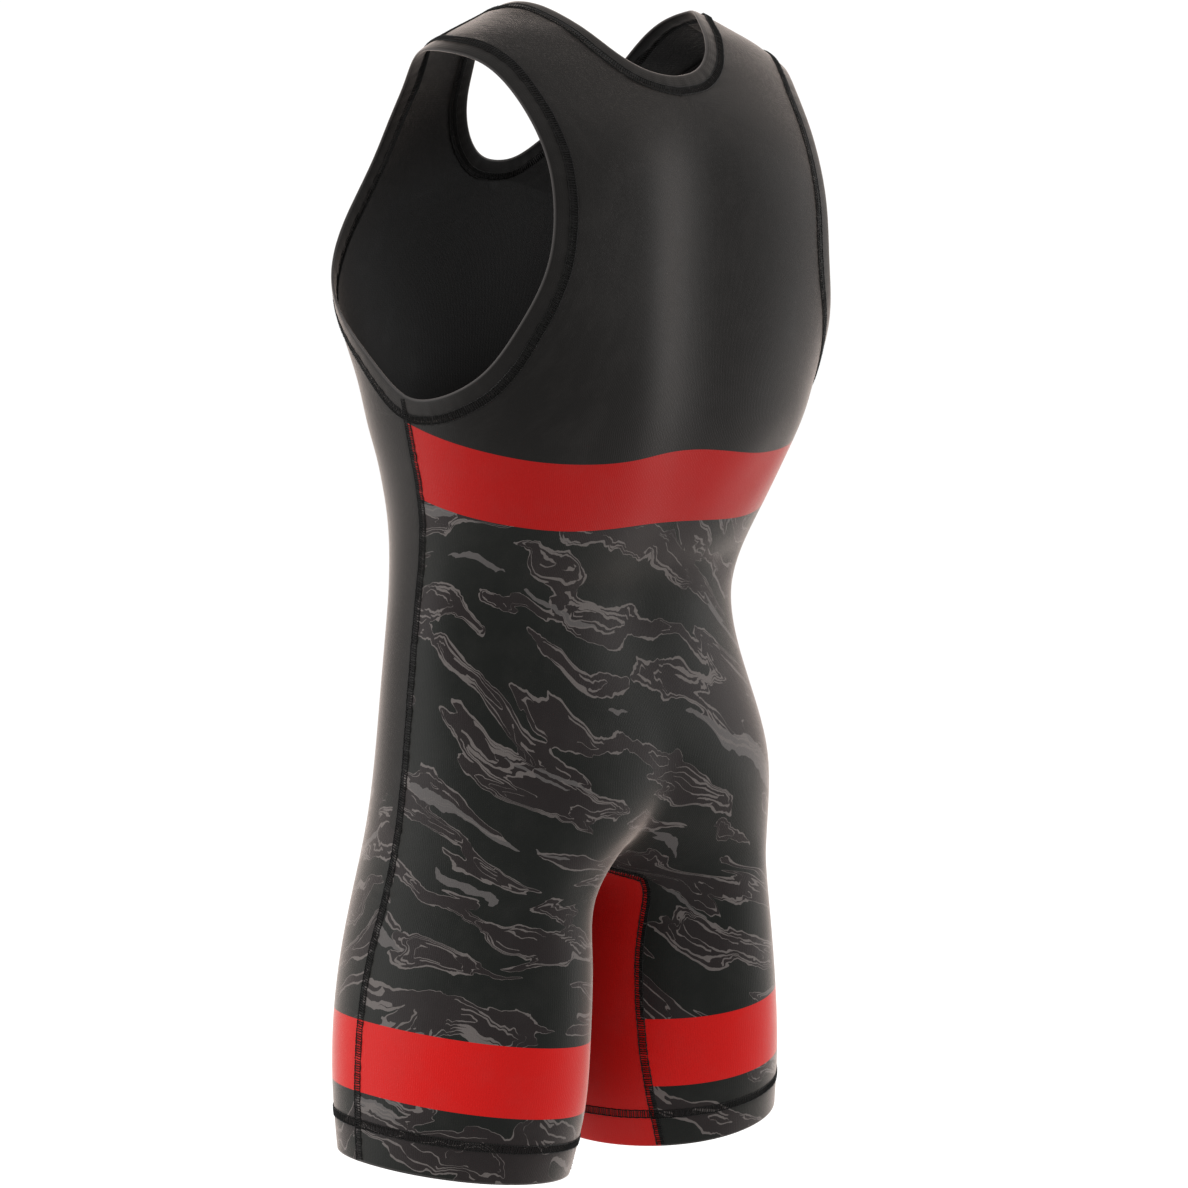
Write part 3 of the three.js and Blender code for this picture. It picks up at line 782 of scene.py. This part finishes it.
def relaxed(base):
    """Evens out the rows away from the seam, as elastic knit does at a sharp turn."""
    ring = base[:-1].copy()
    for _ in range(RELAXING):
        ring[:, 1:] = (np.roll(ring, 1, axis=0) + 2 * ring + np.roll(ring, -1, axis=0))[:, 1:] / 4
    return np.concatenate([ring, ring[:1]])


def paint_shade_on_inner_half(piece, width):
    """Gives the half of a binding that lies inside the garment the inner face's darker material, as painted
    shade.
    """
    places = piece.data.uv_layers["cloth"].data
    for face in piece.data.polygons:
        if sum(places[i].uv.x for i in face.loop_indices) / face.loop_total > (width + INNER_HALF) * MM:
            face.material_index = 1


def binding(name, line, along, width, turn):
    """A folded strip beside a closed seam; along holds the seam's direction at each point."""
    base = relaxed(across_form(line, along, width, turn))
    normals = form_normal(base)
    place = np.array(PROFILE["across"]) * ACROSS_STEPS
    height = np.array(PROFILE["height"])
    run = run_along(line)
    step = np.minimum(place.astype(int), ACROSS_STEPS - 1)
    part = (place - step)[None, :, None]
    laid = base[:, step] * (1 - part) + base[:, step + 1] * part
    facing = unit(normals[:, step] * (1 - part) + normals[:, step + 1] * part)
    ends = ease(0, RIPPLE_ENDS, run) * ease(run[-1], run[-1] - RIPPLE_ENDS, run)
    ripple = pucker(place[None, :] / ACROSS_STEPS * width, run[:, None]) * RIPPLE_SHARE * ends[:, None]
    points = laid + facing * (height + ripple + crease_relief(laid))[..., None]
    points[-1] = points[0]
    around = np.concatenate([[0], np.cumsum(np.abs(np.diff(place)) * width / ACROSS_STEPS)])
    cloth = np.stack(np.broadcast_arrays(around[None, :], run[:, None]), axis=-1)
    piece = sheet_from_grid(name, points, cloth, flip=turn > 0)
    give_wall(piece, BINDING_KNIT, rounding=0.2)
    # The binding's half inside the garment is darkened as painted shade.
    paint_shade_on_inner_half(piece, width)
    print(name, len(piece.data.polygons), "faces, edge length", round(run[-1]), "mm")
    return piece


def directions(line):
    """The direction of a closed line at each of its points; the last point repeats the first."""
    around = np.concatenate([line[-2:-1], line, line[1:2]])
    return unit(around[2:] - around[:-2])


BINDING_STEP = 3.0
armhole_length = armhole_seam.end - armhole_seam.mark(0)
armhole_line = armhole_seam.at(armhole_seam.mark(0), armhole_seam.end, int(armhole_length / BINDING_STEP))
armhole_line[-1] = armhole_line[0]
half_neck = neck_seam.at(0, neck_seam.end, int(neck_seam.end / BINDING_STEP))
half_neck[[0, -1], 0] = 0
neck_line = np.concatenate([half_neck, half_neck[-2::-1] * MIRROR_X])

left_binding = binding("armhole_binding_left_cloth", armhole_line, directions(armhole_line),
                       ARMHOLE_BINDING, -1)
right_line = armhole_line * MIRROR_X
right_binding = binding("armhole_binding_right_cloth", right_line, directions(right_line),
                        ARMHOLE_BINDING, 1)
neck_rim = binding("neck_binding_cloth", neck_line, directions(neck_line), NECK_BINDING, 1)

# %% [markdown]
# Flatlock thread is what the eye takes for the black ladder along each seam: a rung at every stitch, and
# a short needle stitch at both of its ends. One stitch is three strands of four sides. It is copied along
# a seam about 1.9 mm apart, as in the real one, and each copy is bent onto the form and is a little off
# its place. No modifier bends a row of copies round an armhole without stretching them, so these meshes
# are built straight from their points.

# %% One flatlock stitch
STITCH_PITCH = 1.9
LADDER_HALF_WIDTH = 3.1
RUNG, NEEDLE_THREAD = 0.42, 0.54
STRANDS = (
    (RUNG, ((-0.2, -1, -0.2), (-0.08, -0.6, 0.28), (0, 0, 0.36), (0.08, 0.6, 0.28), (0.2, 1, -0.2))),
    (NEEDLE_THREAD, ((-0.46, -1, -0.25), (-0.1, -1, 0.3), (0.46, -1, -0.25))),
    (NEEDLE_THREAD, ((-0.46, 1, -0.25), (0.1, 1, 0.3), (0.46, 1, -0.25))),
)
UNEVEN = {"slip": (0.16, 2.4), "skew": (0.05, 0.9), "width": (0.05, 1.7), "drift": (0.12, 0.31),
          "lift": (0.07, 3.7)}
LAYING_PASSES = 4
THREAD_SMOOTHING = 80
AHEAD = 2


def strand(path, radius):
    """Corners and faces of a four-sided strand along a path; its ends are closed."""
    ahead = unit(np.gradient(path, axis=0))
    up = np.array([0, 0, 1.0])
    beside = unit(np.cross(ahead, up))
    over = np.cross(beside, ahead)
    ring = [(1, 0), (0, 1), (-1, 0), (0, -1)]
    corners = np.stack([path + radius * (a * beside + b * over) for a, b in ring], axis=1).reshape(-1, 3)
    faces = []
    for i in range(len(path) - 1):
        for k in range(4):
            a, b = 4 * i + k, 4 * i + (k + 1) % 4
            faces.append((a, a + 4, b + 4, b))
    last = 4 * (len(path) - 1)
    faces += [(0, 1, 2, 3), (last + 3, last + 2, last + 1, last)]
    return corners, faces


def stitch(half_width):
    """One stitch: x along the seam, y across it and z above the cloth, in millimetres."""
    corners, faces = np.empty((0, 3)), []
    for radius, path in STRANDS:
        points, quads = strand(np.array(path) * (STITCH_PITCH, half_width, 1), radius)
        faces += [tuple(i + len(corners) for i in quad) for quad in quads]
        corners = np.concatenate([corners, points])
    return corners, faces


def laid_on_form(points, heights):
    """Moves points onto the form and then out by their heights."""
    for _ in range(LAYING_PASSES):
        slope = form_slope(points)
        points = points - (form_field(points) / np.sum(slope ** 2, axis=-1))[..., None] * slope
    lift = heights + crease_relief(points)
    return points + form_normal(points) * lift[..., None]


def between_points(line, run, lengths):
    """The places at some lengths along a line."""
    return np.stack([np.interp(lengths, run, line[:, axis]) for axis in range(3)], axis=-1)


def thread_along(name, lines, height=0.75, half_width=LADDER_HALF_WIDTH, side=1):
    """One mesh of stitches along lines on the form; side is -1 for the inside of the cloth."""
    template, faces = stitch(half_width)
    if side < 0:
        faces = [face[::-1] for face in faces]
    placed = []
    for line in lines:
        run = run_along(line)
        count = int(run[-1] / STITCH_PITCH)
        at = (np.arange(count) + 0.5) * run[-1] / count
        centre = between_points(line, run, at)
        ahead = unit(between_points(line, run, at + AHEAD) - between_points(line, run, at - AHEAD))
        beside = unit(np.cross(form_normal(centre), ahead))
        number = np.arange(count)[:, None]
        uneven = {kind: reach * np.sin(rate * number) for kind, (reach, rate) in UNEVEN.items()}
        forward = template[:, 0] + uneven["slip"] + template[:, 1] * uneven["skew"]
        across = template[:, 1] * (1 + uneven["width"]) + uneven["drift"]
        flat = centre[:, None] + ahead[:, None] * forward[..., None] + beside[:, None] * across[..., None]
        heights = side * (template[:, 2] + height + uneven["lift"])
        placed.append(laid_on_form(flat, heights).reshape(-1, 3))
    corners = np.concatenate(placed)
    copies = len(corners) // len(template)
    offsets = np.arange(copies)[:, None, None] * len(template)
    all_faces = (np.array(faces)[None] + offsets).reshape(-1, 4)
    mesh = bpy.data.meshes.new(name)
    mesh.from_pydata(corners * MM, [], all_faces)
    piece = bpy.data.objects.new(name, mesh)
    bpy.context.scene.collection.objects.link(piece)
    shade_smooth(piece, THREAD_SMOOTHING)
    print(name, copies, "stitches,", 2 * len(all_faces), "triangles")
    return piece


print("one stitch has", len(stitch(LADDER_HALF_WIDTH)[1]), "faces")

# %% [markdown]
# The seam lines are all known from the form: the side seams are its line of angle 0, the gusset seams
# are the edge of the red piece, and the hem stitching is a ring round each leg. The armholes and the
# neckline were chalked above, and a shoulder seam joins them. Under each arm a short row closes the
# binding.

# %% Seam lines
SIDE_POINTS, OPEN_POINTS = 260, 180
LEG_POINTS, TIP_POINTS, HEM_POINTS, SHOULDER_POINTS = 90, 30, 240, 20
LADDER_LIFT, HEM_LIFT, UNDER_ARM_LIFT = 0.95, 0.55, 1.35
UNDER_ARM_INSET, UNDER_ARM_HALF_WIDTH = 1.5, 1.6
THREAD_FOOT = HEM_LEVEL + 1

left_side = ring_point(np.linspace(ARMHOLE_LEVEL, THREAD_FOOT, SIDE_POINTS), 0.0)
gusset_levels = np.concatenate([np.linspace(THREAD_FOOT, CROTCH_LEVEL, LEG_POINTS),
                                np.linspace(CROTCH_LEVEL, GUSSET_TIP, TIP_POINTS)[1:]])


def gusset_seam(side):
    leg = ring_point(gusset_levels, side * gusset_angle(gusset_levels))
    leg[-1, 0] = 0
    return np.concatenate([leg, leg[-2::-1] * MIRROR_X])


hem_ring = ring_point(HEM_STITCH, np.linspace(-np.pi, np.pi, HEM_POINTS))
shoulder_ends = np.stack([armhole_seam.at(armhole_seam.mark(ARMHOLE_SHOULDER), armhole_seam.end, 1)[0],
                          neck_seam.at(neck_seam.mark(NECK_SHOULDER), neck_seam.end, 1)[0]])
shoulder = onto_trunk(np.linspace(*shoulder_ends, SHOULDER_POINTS))
under_arm = across_form(left_side[:1], np.array([[0, -1.0, 0]]), ARMHOLE_BINDING - UNDER_ARM_INSET, -1)[0]
under_side = left_side[:OPEN_POINTS]
armhole_lines = [armhole_line, right_line]


def both(line):
    """A line of the left half with its mirror image."""
    return [line, line * MIRROR_X]


threads = [
    thread_along("side_seam_thread", both(left_side)),
    thread_along("side_inner_thread", both(under_side), side=-1),
    thread_along("armhole_seam_thread", armhole_lines, LADDER_LIFT),
    thread_along("armhole_inner_thread", armhole_lines, LADDER_LIFT, side=-1),
    thread_along("neck_seam_thread", [neck_line], LADDER_LIFT),
    thread_along("neck_inner_thread", [neck_line], LADDER_LIFT, side=-1),
    thread_along("gusset_seam_thread", [gusset_seam(1), gusset_seam(-1)]),
    thread_along("hem_thread", both(hem_ring), HEM_LIFT),
    thread_along("shoulder_seam_thread", both(shoulder)),
    thread_along("under_arm_thread", both(under_arm), UNDER_ARM_LIFT, UNDER_ARM_HALF_WIDTH),
]
print(len(threads), "rows of thread")

# %% [markdown]
# The cloth is nylon and elastane knit, spun fine and dyed. It is matt in front of the eye and pale at a
# grazing angle, because the fuzz of its yarns catches light from the side: that is sheen, not gloss. Its
# plain white specular reflection is weak, so the black stays black under a white sky. Under a lens the
# face is columns of small V-shaped stitches. The real columns are 0.6 mm apart, too fine to show from
# 2.6 m, so they are drawn three times as wide here, with a soft unevenness for the loft of the yarn.

# %% The knit's relief and its shader
WALE, COURSE = 0.0019, 0.0016
LOFT_GRAIN = 0.0012
KNIT_BUMP, RELIEF_STRENGTH = 0.00015, 0.8
LOOP_SHARE, LOFT_SHARE = 0.8, 1.1
MOTTLE = {"Scale": 30, "Detail": 4, "Roughness": 0.65}
DYE_FADE, FADED_BLACK = 0.06, "#4a4745"
ROUGHNESS = (0.4, 0.56)
SHEEN_ROUGHNESS, SHEEN_TINT = 0.31, "#e6d5cb"
FLAT = {"noise_dimensions": "2D"}


def knit_height(tree, cloth):
    """0 between stitches and 1 on top of them: columns of small Vs, with a little loft."""
    apart = add_node(tree, "SeparateXYZ", {0: cloth})
    wale = add_node(tree, "Math", {0: apart, 1: WALE}, operation="DIVIDE")
    lean = add_node(tree, "Math", {0: wale, 1: 0.5}, operation="PINGPONG")
    course = add_node(tree, "Math", {0: apart.outputs[1], 1: 1 / COURSE, 2: lean}, operation="MULTIPLY_ADD")
    loop = add_node(tree, "Math", {0: course, 1: 0.5}, operation="PINGPONG")
    loop = add_node(tree, "Math", {0: loop, 1: LOOP_SHARE, 2: 0.5}, operation="MULTIPLY_ADD")
    rib = add_node(tree, "Math", {0: lean, 1: loop}, operation="MULTIPLY")
    loft = add_node(tree, "TexNoise", {"Vector": cloth, "Scale": 1 / LOFT_GRAIN, "Detail": 2}, **FLAT)
    return add_node(tree, "Math", {0: loft, 1: LOFT_SHARE, 2: rib}, operation="MULTIPLY_ADD")


def layered(tree, dye, *layers):
    """Dyes over a dye: each layer is an amount, 0 for none of it, and its colour."""
    for amount, shade in layers:
        mix = add_node(tree, "Mix", {0: amount, 6: dye, 7: colour(shade)}, data_type="RGBA")
        dye = mix.outputs[2]
    return dye


def knit_material(name):
    """A new material, with the place on the cloth in metres."""
    material, tree, shader = new_material(name)
    return material, tree, shader, add_node(tree, "UVMap", uv_map="cloth")


def knit_finish(tree, shader, cloth, dye, sheen=1.0, gloss=0.08):
    """Gives a shader the knit's relief, its sheen and a slightly uneven dye."""
    mottle = add_node(tree, "TexNoise", {"Vector": cloth, **MOTTLE}, **FLAT)
    thin = add_node(tree, "MapRange", {"Value": mottle, "From Min": 0.45, "From Max": 0.8,
                                       "To Min": 0.0, "To Max": DYE_FADE})
    rough = add_node(tree, "MapRange", {"Value": mottle, "To Min": ROUGHNESS[0], "To Max": ROUGHNESS[1]})
    bump = add_node(tree, "Bump", {"Height": knit_height(tree, cloth), "Strength": RELIEF_STRENGTH,
                                   "Distance": KNIT_BUMP})
    fill(tree, shader, {"Base Color": layered(tree, dye, (thin, FADED_BLACK)), "Roughness": rough,
                        "Normal": bump, "Specular IOR Level": gloss, "Sheen Weight": sheen,
                        "Sheen Roughness": SHEEN_ROUGHNESS, "Sheen Tint": colour(SHEEN_TINT)})


print("knit columns are", 1000 * WALE, "mm apart and", 1000 * KNIT_BUMP, "mm high")

# %% [markdown]
# A print on stretch knit is dye in the yarn, so it has no edge of its own and no gloss of its own: it
# only changes the colour. It must stay with the cloth, so it is drawn in cloth distances, the UV map of
# each sheet. The camouflage is the common tiger-stripe kind: long flame-like patches, drawn with lines
# that swell and thin out as a brush does. Noise that is pulled out sideways makes the patches, and three
# warps, of about 200 mm, 75 mm and 15 mm, bend them, curl them and fray their tips. The front is cut from
# another place in the print than the back, so the pattern doesn't run on, or mirror, across a side seam.

# %% Camouflage print
STRIPE_TURN = math.radians(-20)
STRIPE_WARPS = (
    ({"Scale": 5.0, "Detail": 0}, (0.050, 0.080, 0)),
    ({"Scale": 13.0, "Detail": 1}, (0.055, 0.028, 0)),
    ({"Scale": 68.0, "Detail": 2.3}, (0.0185, 0.0062, 0)),
)
FLAME_STRETCH, FLAME_REACH = (11, 105, 1), (0.036, 0, 0)
PATCH_NOISE = {"Scale": 1, "Detail": 1.5, "Roughness": 0.42}
PATCH_STRETCH = (8.5, 36.0, 1)
PATCH_EDGE, SOLID_EDGE = 0.525, 0.70
INNER_EDGES = (0.565, 0.605, 0.65, 0.70)
BRUSH, BRUSH_SWELL = (0.0005, 0.0009, 0), (0.4, 2.4)
CUT_SCALE, CUT_EDGE = 20, 0.48
SOLID_SHIFT, SOLID_STRETCH = (3.7, 8.1, 0), (0.5, 1.35, 1)
GROUND, FILL, BRUSH_LINE, SOLID = "#101210", "#1c1818", "#524d4b", "#464342"


def brushed_edge(tree, place, moved, edge):
    """A line where a noise crosses a value: as thick as the step to a moved copy of it."""
    sides = []
    for where in (place, moved):
        patch = add_node(tree, "TexNoise", {"Vector": where, **PATCH_NOISE}, **FLAT)
        sides.append(add_node(tree, "Math", {0: patch, 1: edge}, operation="GREATER_THAN"))
    line = add_node(tree, "Math", {0: sides[0], 1: sides[1]}, operation="SUBTRACT")
    return sides[0], add_node(tree, "Math", {0: line}, operation="ABSOLUTE")


def camouflage(tree, cloth, shift):
    """The colour of the stripes at a place on the cloth; the shift says where in the print it is cut."""
    place = add_node(tree, "Mapping", {"Vector": cloth, "Location": shift, "Rotation": (0, 0, STRIPE_TURN)})
    for settings, reach in STRIPE_WARPS:
        noise = add_node(tree, "TexNoise", {"Vector": place, **settings}, **FLAT)
        even = add_node(tree, "VectorMath", {0: noise.outputs["Color"], 1: (0.5, 0.5, 0.5)},
                        operation="SUBTRACT")
        place = add_node(tree, "VectorMath", {0: even, 1: reach, 2: place}, operation="MULTIPLY_ADD")
    tongues = add_node(tree, "VectorMath", {0: place, 1: FLAME_STRETCH}, operation="MULTIPLY")
    tongues = add_node(tree, "TexNoise", {"Vector": tongues, "Scale": 1, "Detail": 1}, **FLAT)
    tongues = add_node(tree, "Math", {0: tongues, 1: 0.5}, operation="SUBTRACT")
    place = add_node(tree, "VectorMath", {0: tongues, 1: FLAME_REACH, 2: place}, operation="MULTIPLY_ADD")
    swell = add_node(tree, "TexNoise", {"Vector": place, "Scale": 26, "Detail": 1}, **FLAT)
    swell = add_node(tree, "MapRange", {"Value": swell, "From Min": 0.35, "From Max": 0.72,
                                        "To Min": BRUSH_SWELL[0], "To Max": BRUSH_SWELL[1]})
    brush = add_node(tree, "VectorMath", {0: BRUSH, "Scale": swell}, operation="SCALE")
    moved = add_node(tree, "VectorMath", {0: place, 1: brush}, operation="ADD")
    stretched = [add_node(tree, "VectorMath", {0: where, 1: PATCH_STRETCH}, operation="MULTIPLY")
                 for where in (place, moved)]
    patch, lines = brushed_edge(tree, *stretched, PATCH_EDGE)
    for number, edge in enumerate(INNER_EDGES):
        _, inner = brushed_edge(tree, *stretched, edge)
        cut = add_node(tree, "Mapping", {"Vector": place, "Location": (number, 2 * number, 0)})
        cut = add_node(tree, "TexNoise", {"Vector": cut, "Scale": CUT_SCALE, "Detail": 0}, **FLAT)
        cut = add_node(tree, "Math", {0: cut, 1: CUT_EDGE}, operation="GREATER_THAN")
        inner = add_node(tree, "Math", {0: inner, 1: cut}, operation="MULTIPLY")
        lines = add_node(tree, "Math", {0: lines, 1: inner}, operation="MAXIMUM")
    other = add_node(tree, "Mapping", {"Vector": stretched[0], "Location": SOLID_SHIFT,
                                       "Scale": SOLID_STRETCH})
    solid = add_node(tree, "TexNoise", {"Vector": other, "Scale": 1, "Detail": 2}, **FLAT)
    solid = add_node(tree, "Math", {0: solid, 1: SOLID_EDGE}, operation="GREATER_THAN")
    return layered(tree, colour(GROUND), (patch, FILL), (solid, SOLID), (lines, BRUSH_LINE))


print("the finest line of the stripes is about", 1000 * BRUSH[1] * BRUSH_SWELL[0], "mm wide")

# %% [markdown]
# Front and back are black with red bands printed across them. The bands are level rings round the thighs,
# and a wider one across the small of the back, which dips on both sides of the spine because the cloth is
# pulled down there. The camouflage runs from the waist band down on the back, and from the hip down on
# the front, where its upper edge is ragged. A worn and washed hem is a little paler on its fold.

# %% Panel prints
THIGH_BAND = (-0.836, -0.781)
WAIST_BAND = {"low": (-0.3970, -0.3490), "side_rise": (0.0310, 0.0410), "spine_rise": (0.0110, 0.0183)}
BAND_REACH, SPINE_REACH = 0.265, 0.085
FRONT_CAMO_LEVEL, RAGGED_HEIGHT = -0.612, 0.09
WORN_BELOW, WORN_ABOVE, WORN_SHARE = 0.0012, 0.0014, 0.35
# The waist band's red is darker than the thigh bands' red as painted shade: the small of the back faces down
# and gets less light.
PLAIN_BLACK, THIGH_RED, WAIST_RED_WITH_PAINTED_SHADE, WORN_FOLD_AND_PAINTED_HIGHLIGHT = "#100f0e", "#a80c09", "#8c0806", "#454241"


def between(tree, value, low, high):
    """1 where a value lies between two others, and 0 elsewhere."""
    above = add_node(tree, "Math", {0: value, 1: low}, operation="GREATER_THAN")
    below = add_node(tree, "Math", {0: value, 1: high}, operation="LESS_THAN")
    return add_node(tree, "Math", {0: above, 1: below}, operation="MULTIPLY")


def dipping_level(tree, cloth, low, side_rise, spine_rise):
    """A level that rises as a parabola to the side seams, and as a soft hump over the spine."""
    across = add_node(tree, "SeparateXYZ", {0: cloth})
    square = add_node(tree, "Math", {0: across, 1: across}, operation="MULTIPLY")
    bowl = add_node(tree, "Math", {0: square, 1: side_rise / BAND_REACH ** 2, 2: low},
                    operation="MULTIPLY_ADD")
    hump = add_node(tree, "Math", {0: square, 1: -1 / SPINE_REACH ** 2}, operation="MULTIPLY")
    hump = add_node(tree, "Math", {0: hump}, operation="EXPONENT")
    return add_node(tree, "Math", {0: hump, 1: spine_rise, 2: bowl}, operation="MULTIPLY_ADD")


def panel_knit(name, has_waist_band, shift):
    """The printed knit of the front or the back panel."""
    material, tree, shader, cloth = knit_material(name)
    level = add_node(tree, "SeparateXYZ", {0: cloth}).outputs[1]
    stripes = camouflage(tree, cloth, shift)
    if has_waist_band:
        band_foot, band_top = [dipping_level(tree, cloth, *shape) for shape in zip(*WAIST_BAND.values())]
        plain_from = band_foot
    else:
        ragged = add_node(tree, "TexNoise", {"Vector": cloth, "Scale": 24, "Detail": 2}, **FLAT)
        plain_from = add_node(tree, "Math", {0: ragged, 1: RAGGED_HEIGHT,
                                             2: FRONT_CAMO_LEVEL - RAGGED_HEIGHT / 2},
                              operation="MULTIPLY_ADD")
    plain = add_node(tree, "Math", {0: level, 1: plain_from}, operation="GREATER_THAN")
    dye = layered(tree, stripes, (plain, PLAIN_BLACK), (between(tree, level, *THIGH_BAND), THIGH_RED))
    if has_waist_band:
        dye = layered(tree, dye, (between(tree, level, band_foot, band_top), WAIST_RED_WITH_PAINTED_SHADE))
    fold = between(tree, level, HEM_LEVEL * MM - WORN_BELOW, HEM_LEVEL * MM + WORN_ABOVE)
    fold = add_node(tree, "Math", {0: fold, 1: WORN_SHARE}, operation="MULTIPLY")
    knit_finish(tree, shader, cloth, layered(tree, dye, (fold, WORN_FOLD_AND_PAINTED_HIGHLIGHT)))
    return material


front_print = panel_knit("sublimated_stretch_knit_front", has_waist_band=False, shift=(1.7, 0.9, 0))
back_print = panel_knit("sublimated_stretch_knit_back", has_waist_band=True, shift=(0, 0, 0))
print("nodes in the prints:", len(front_print.node_tree.nodes), "and", len(back_print.node_tree.nodes))

# %% [markdown]
# The plain knits need no print: the red of the gusset, the black inside, and the bindings. A binding is
# the same black knit pulled over a fold, so its yarns lie open and it looks a shade greyer, with a pale
# line along the fold that is partly rubbed wear and partly a painted highlight. The thread is textured
# polyester: black, a little shiny and uneven.

# %% Plain knits and thread
# The gusset's red is darker than the thigh bands' red as painted shade between the legs.
GUSSET_RED_WITH_PAINTED_SHADE, INSIDE_BLACK_WITH_PAINTED_SHADE, BINDING_BLACK = "#980f0c", "#040404", "#121110"
THREAD_BLACK, FIBRE_GREY = "#030303", "#151413"
# The pale line along a binding's fold is partly rubbed wear and partly a painted highlight on the rounded
# fold.
WEAR_AND_HIGHLIGHT_FROM, WEAR_AND_HIGHLIGHT_TO, WEAR_AND_HIGHLIGHT_SHARE = 0.0002, 0.0014, 0.75
FIBRE, FIBRE_RELIEF = 0.0008, 0.0001


def plain_knit(name, dye, sheen=1.0, gloss=0.08):
    material, tree, shader, cloth = knit_material(name)
    knit_finish(tree, shader, cloth, colour(dye), sheen, gloss)
    return material


def binding_knit(name, width):
    """The knit of a binding, with a pale line along its fold: rubbed wear and a painted highlight."""
    material, tree, shader, cloth = knit_material(name)
    around = add_node(tree, "SeparateXYZ", {0: cloth})
    from_fold = add_node(tree, "Math", {0: around, 1: width * MM}, operation="SUBTRACT")
    from_fold = add_node(tree, "Math", {0: from_fold}, operation="ABSOLUTE")
    wear_and_highlight = add_node(tree, "MapRange", {"Value": from_fold, "From Min": WEAR_AND_HIGHLIGHT_FROM,
                                         "From Max": WEAR_AND_HIGHLIGHT_TO, "To Min": WEAR_AND_HIGHLIGHT_SHARE, "To Max": 0.0})
    knit_finish(tree, shader, cloth, layered(tree, colour(BINDING_BLACK), (wear_and_highlight, WORN_FOLD_AND_PAINTED_HIGHLIGHT)))
    return material


gusset_knit = plain_knit("red_stretch_knit", GUSSET_RED_WITH_PAINTED_SHADE)
# The inner face's black is darker than the outer black as painted shade inside the garment.
inside_knit = plain_knit("unprinted_inner_face_of_knit", INSIDE_BLACK_WITH_PAINTED_SHADE, sheen=0.4, gloss=0.06)
armhole_knit = binding_knit("folded_armhole_binding_knit", ARMHOLE_BINDING)
neck_knit = binding_knit("folded_neck_binding_knit", NECK_BINDING)

sewing_thread, tree, shader = new_material("textured_polyester_thread")
place = add_node(tree, "TexCoord").outputs["Object"]
fibre = add_node(tree, "TexNoise", {"Vector": place, "Scale": 1 / FIBRE, "Detail": 2})
bump = add_node(tree, "Bump", {"Height": fibre, "Strength": 0.5, "Distance": FIBRE_RELIEF})
fill(tree, shader, {"Base Color": layered(tree, colour(THREAD_BLACK), (fibre, FIBRE_GREY)),
                    "Normal": bump, "Roughness": 0.45, "Specular IOR Level": 0.12})
print("materials:", [material.name for material in bpy.data.materials if material.users == 0])

# %% [markdown]
# Each piece now takes its material. The first slot is the printed face, and the second is the inner face
# that Solidify made.

# %% Dress
for piece in threads:
    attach(piece, "root")
    piece.data.materials.append(sewing_thread)
SHEETS = (
    (front, "front_panel", "front_knit", (0.54, 0.90), 0.32, front_print),
    (back, "back_panel", "back_knit", (0.56, 0.92), 0.345, back_print),
    (crotch, "inner_leg_gusset", "red_knit", (0.155, 0.48), 0.066, gusset_knit),
    (neck_rim, "neck_binding", "binding_knit", (0.03, 0.6), None, neck_knit),
    (left_binding, "armhole_binding_left", "binding_knit", (0.034, 0.7), None, armhole_knit),
    (right_binding, "armhole_binding_right", "binding_knit", (0.034, 0.7), None, armhole_knit),
)
for piece, node, slot, flat, cut_area, face in SHEETS:
    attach(piece, "root")
    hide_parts(node)
    piece.data.materials[0] = face
    piece.data.materials[1] = inside_knit
